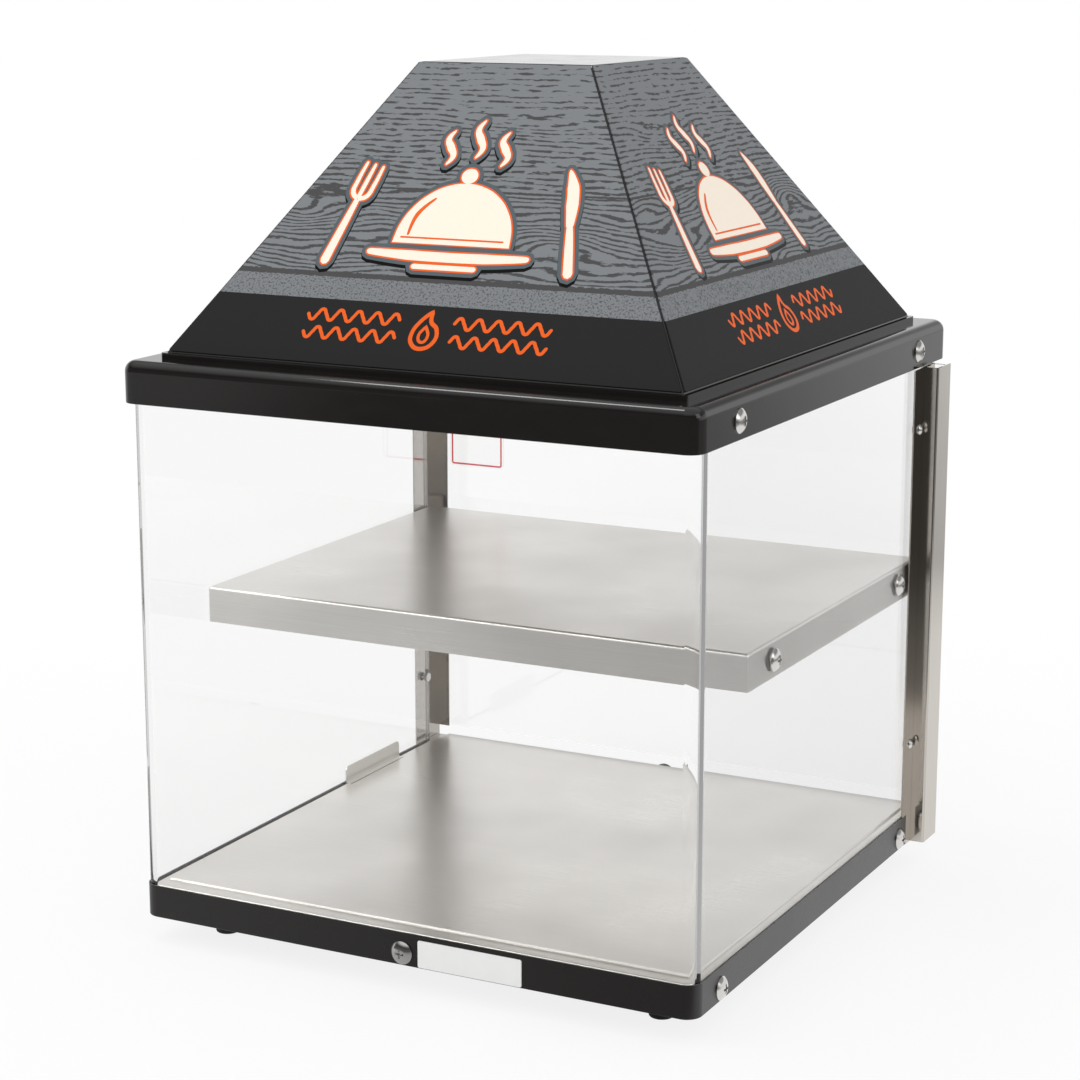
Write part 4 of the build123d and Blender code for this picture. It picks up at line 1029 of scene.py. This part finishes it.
# %% Room
def studio_room(light_level):
    """White for what looks at the room, cards and cloth for gloss, an even level for light."""
    world = bpy.data.worlds.new("studio_room")
    bpy.context.scene.world = world
    world.use_nodes = True
    tree = world.node_tree
    tree.nodes.clear()
    looks, mirrored, plain = ray_kinds(tree)
    direction = add(tree, "SeparateXYZ", {0: add(tree, "TexCoord").outputs["Generated"]}).outputs
    back_card = [(direction["Y"], -0.35, 0.05, CLOTH, 1.0), (direction["Z"], 0.42, 0.24, 0.3, 1.0)]
    top_card = [(direction["Z"], 0.45, 0.85, 0.0, 0.8)]
    cards = soft_level(tree, back_card, top_card)
    seen = add(tree, "Mix", {0: mirrored, 2: plain, 3: cards})
    level = add(tree, "Mix", {0: looks, 2: light_level, 3: seen})
    lit = add(tree, "Background", {"Color": (1.0, 1.0, 1.0, 1.0), "Strength": level})
    add(tree, "OutputWorld", {"Surface": lit})


studio_room(0.8)
print("room ready")

# %% Cards on the floor
# The fronts of the decks mirror what lies in front, towards the left; this runs across that line.
ACROSS_MIRRORED = (1.0, -0.518, 0.0)


def floor_cards(tree, place, across, distance):
    """Cards and cloth by place on the floor, in metres from the middle of the object."""
    axes = add(tree, "SeparateXYZ", {0: place}).outputs
    left_card = [(across, -0.05, -0.45, CLOTH, 0.45)]
    fore_card = [(across, -0.3, 0.4, 0.75, 0.3), (axes["Y"], -0.95, -0.4, 0.0, 1.0)]
    behind = [(axes["Y"], 0.1, 0.5, 0.0, 1.0)]
    beside = [(axes["X"], 0.17, 0.23, 0.0, 1.0), (axes["Y"], -0.32, -0.22, 0.0, 1.0)]
    near = [(distance, 1.9, 1.0, CLOTH, 1.0)]
    far_left = [(across, -0.05, -0.3, 0.0, 0.8)]
    table = [side + reach for side in (behind, beside) for reach in (near, far_left)]
    return soft_level(tree, left_card, fore_card, *table)


print("floor cards ready")

# %% Floor
def studio_floor(width, shadow_share, shadow_reach):
    """Large white floor that keeps a share of the shadow near the object."""
    sheet = bmesh.new()
    bmesh.ops.create_grid(sheet, x_segments=1, y_segments=1, size=width / 2)
    paint = {"Base Color": (0.9, 0.9, 0.9, 1.0), "Roughness": 0.9, "Specular IOR Level": 0.0}
    material, tree, shader, place = start_finish("painted_floor", paint)
    looks, mirrored, plain = ray_kinds(tree)
    distance = add(tree, "VectorMath", {0: place}, operation="LENGTH").outputs["Value"]
    across = add(
        tree, "VectorMath", {0: place, 1: ACROSS_MIRRORED}, operation="DOT_PRODUCT"
    ).outputs["Value"]
    cards = floor_cards(tree, place, across, distance)

    in_case = soft_level(tree, [(across, -0.5, 0.3, 0.92, 0.5)])
    in_case = add(tree, "Math", {0: in_case, 1: plain}, operation="MULTIPLY")
    bounced = add(tree, "LightPath").outputs["Glossy Depth"]
    never_mirrored = add(tree, "Math", {0: bounced, 1: 0.5}, operation="LESS_THAN")
    open_view = add(tree, "Mix", {0: never_mirrored, 2: in_case, 3: 1.0})
    glow = add(tree, "Mix", {0: mirrored, 2: open_view, 3: cards})
    white_share = soft_level(tree, [(distance, 0.3, shadow_reach, 1.0 - shadow_share, 1.0)])
    keep = add(tree, "Mix", {0: mirrored, 2: white_share, 3: 1.0})
    share = add(tree, "Math", {0: looks, 1: keep}, operation="MULTIPLY")
    white = add(tree, "Emission", {"Color": (1.0, 1.0, 1.0, 1.0), "Strength": glow})
    either = add(tree, "MixShader", {0: share, 1: shader, 2: white})
    fill(tree.nodes["Material Output"], {"Surface": either})
    new_object("studio_floor", sheet, [material])


studio_floor(60.0, 0.16, 1.1)
print("floor ready")

# %% Lamps
target = (built_low + built_high) / 2


def soft_lamp(name, position, width, height, watts):
    """Rectangular soft lamp that faces the middle of the object."""
    data = bpy.data.lights.new(name, "AREA")
    data.shape = "RECTANGLE"
    data.size = width
    data.size_y = height
    data.energy = watts
    lamp = bpy.data.objects.new(name, data)
    lamp.location = position
    lamp.rotation_mode = "QUATERNION"
    lamp.rotation_quaternion = (target - Vector(position)).to_track_quat("-Z", "Y")
    bpy.context.scene.collection.objects.link(lamp)
    return lamp


front_left = soft_lamp("lamp_front_left", (-2.2, -2.4, 2.6), 2.0, 2.0, 30)
# Its mirror image would burn out the bent edges of the decks, so reflections leave this lamp out.
front_left.visible_glossy = False
soft_lamp("lamp_right", (2.8, -0.6, 1.9), 1.4, 1.8, 12)
soft_lamp("lamp_top", (-1.25, -0.2, 3.4), 0.6, 1.0, 14)
print("lamps:", [light.name for light in bpy.data.lights])

# %% [markdown]
# ## Camera
# The camera stands 2 m away, to the right of the front and a little above the top of the hood. Its
# place was solved from the straight edges of the case, and the long lens keeps those edges nearly
# parallel.

# %% Camera
sensor = 36.0
lens = 89.65
azimuth = radians(27.38)
downward = radians(12.446)
camera_place = (0.9236, -1.8147, 0.7368)
frame_shift = (0.0036, 0.0003)

camera_data = bpy.data.cameras.new("camera")
camera_data.sensor_width = sensor
camera_data.lens = lens
camera_data.shift_x, camera_data.shift_y = frame_shift
camera = bpy.data.objects.new("camera", camera_data)
camera.location = camera_place
back = Vector((sin(azimuth) * cos(downward), -cos(azimuth) * cos(downward), sin(downward)))
camera.rotation_mode = "QUATERNION"
camera.rotation_quaternion = (-back).to_track_quat("-Z", "Y")
bpy.context.scene.collection.objects.link(camera)
bpy.context.scene.camera = camera
bpy.context.scene.view_settings.view_transform = "Standard"
print("camera at", [round(part, 3) for part in camera.location])
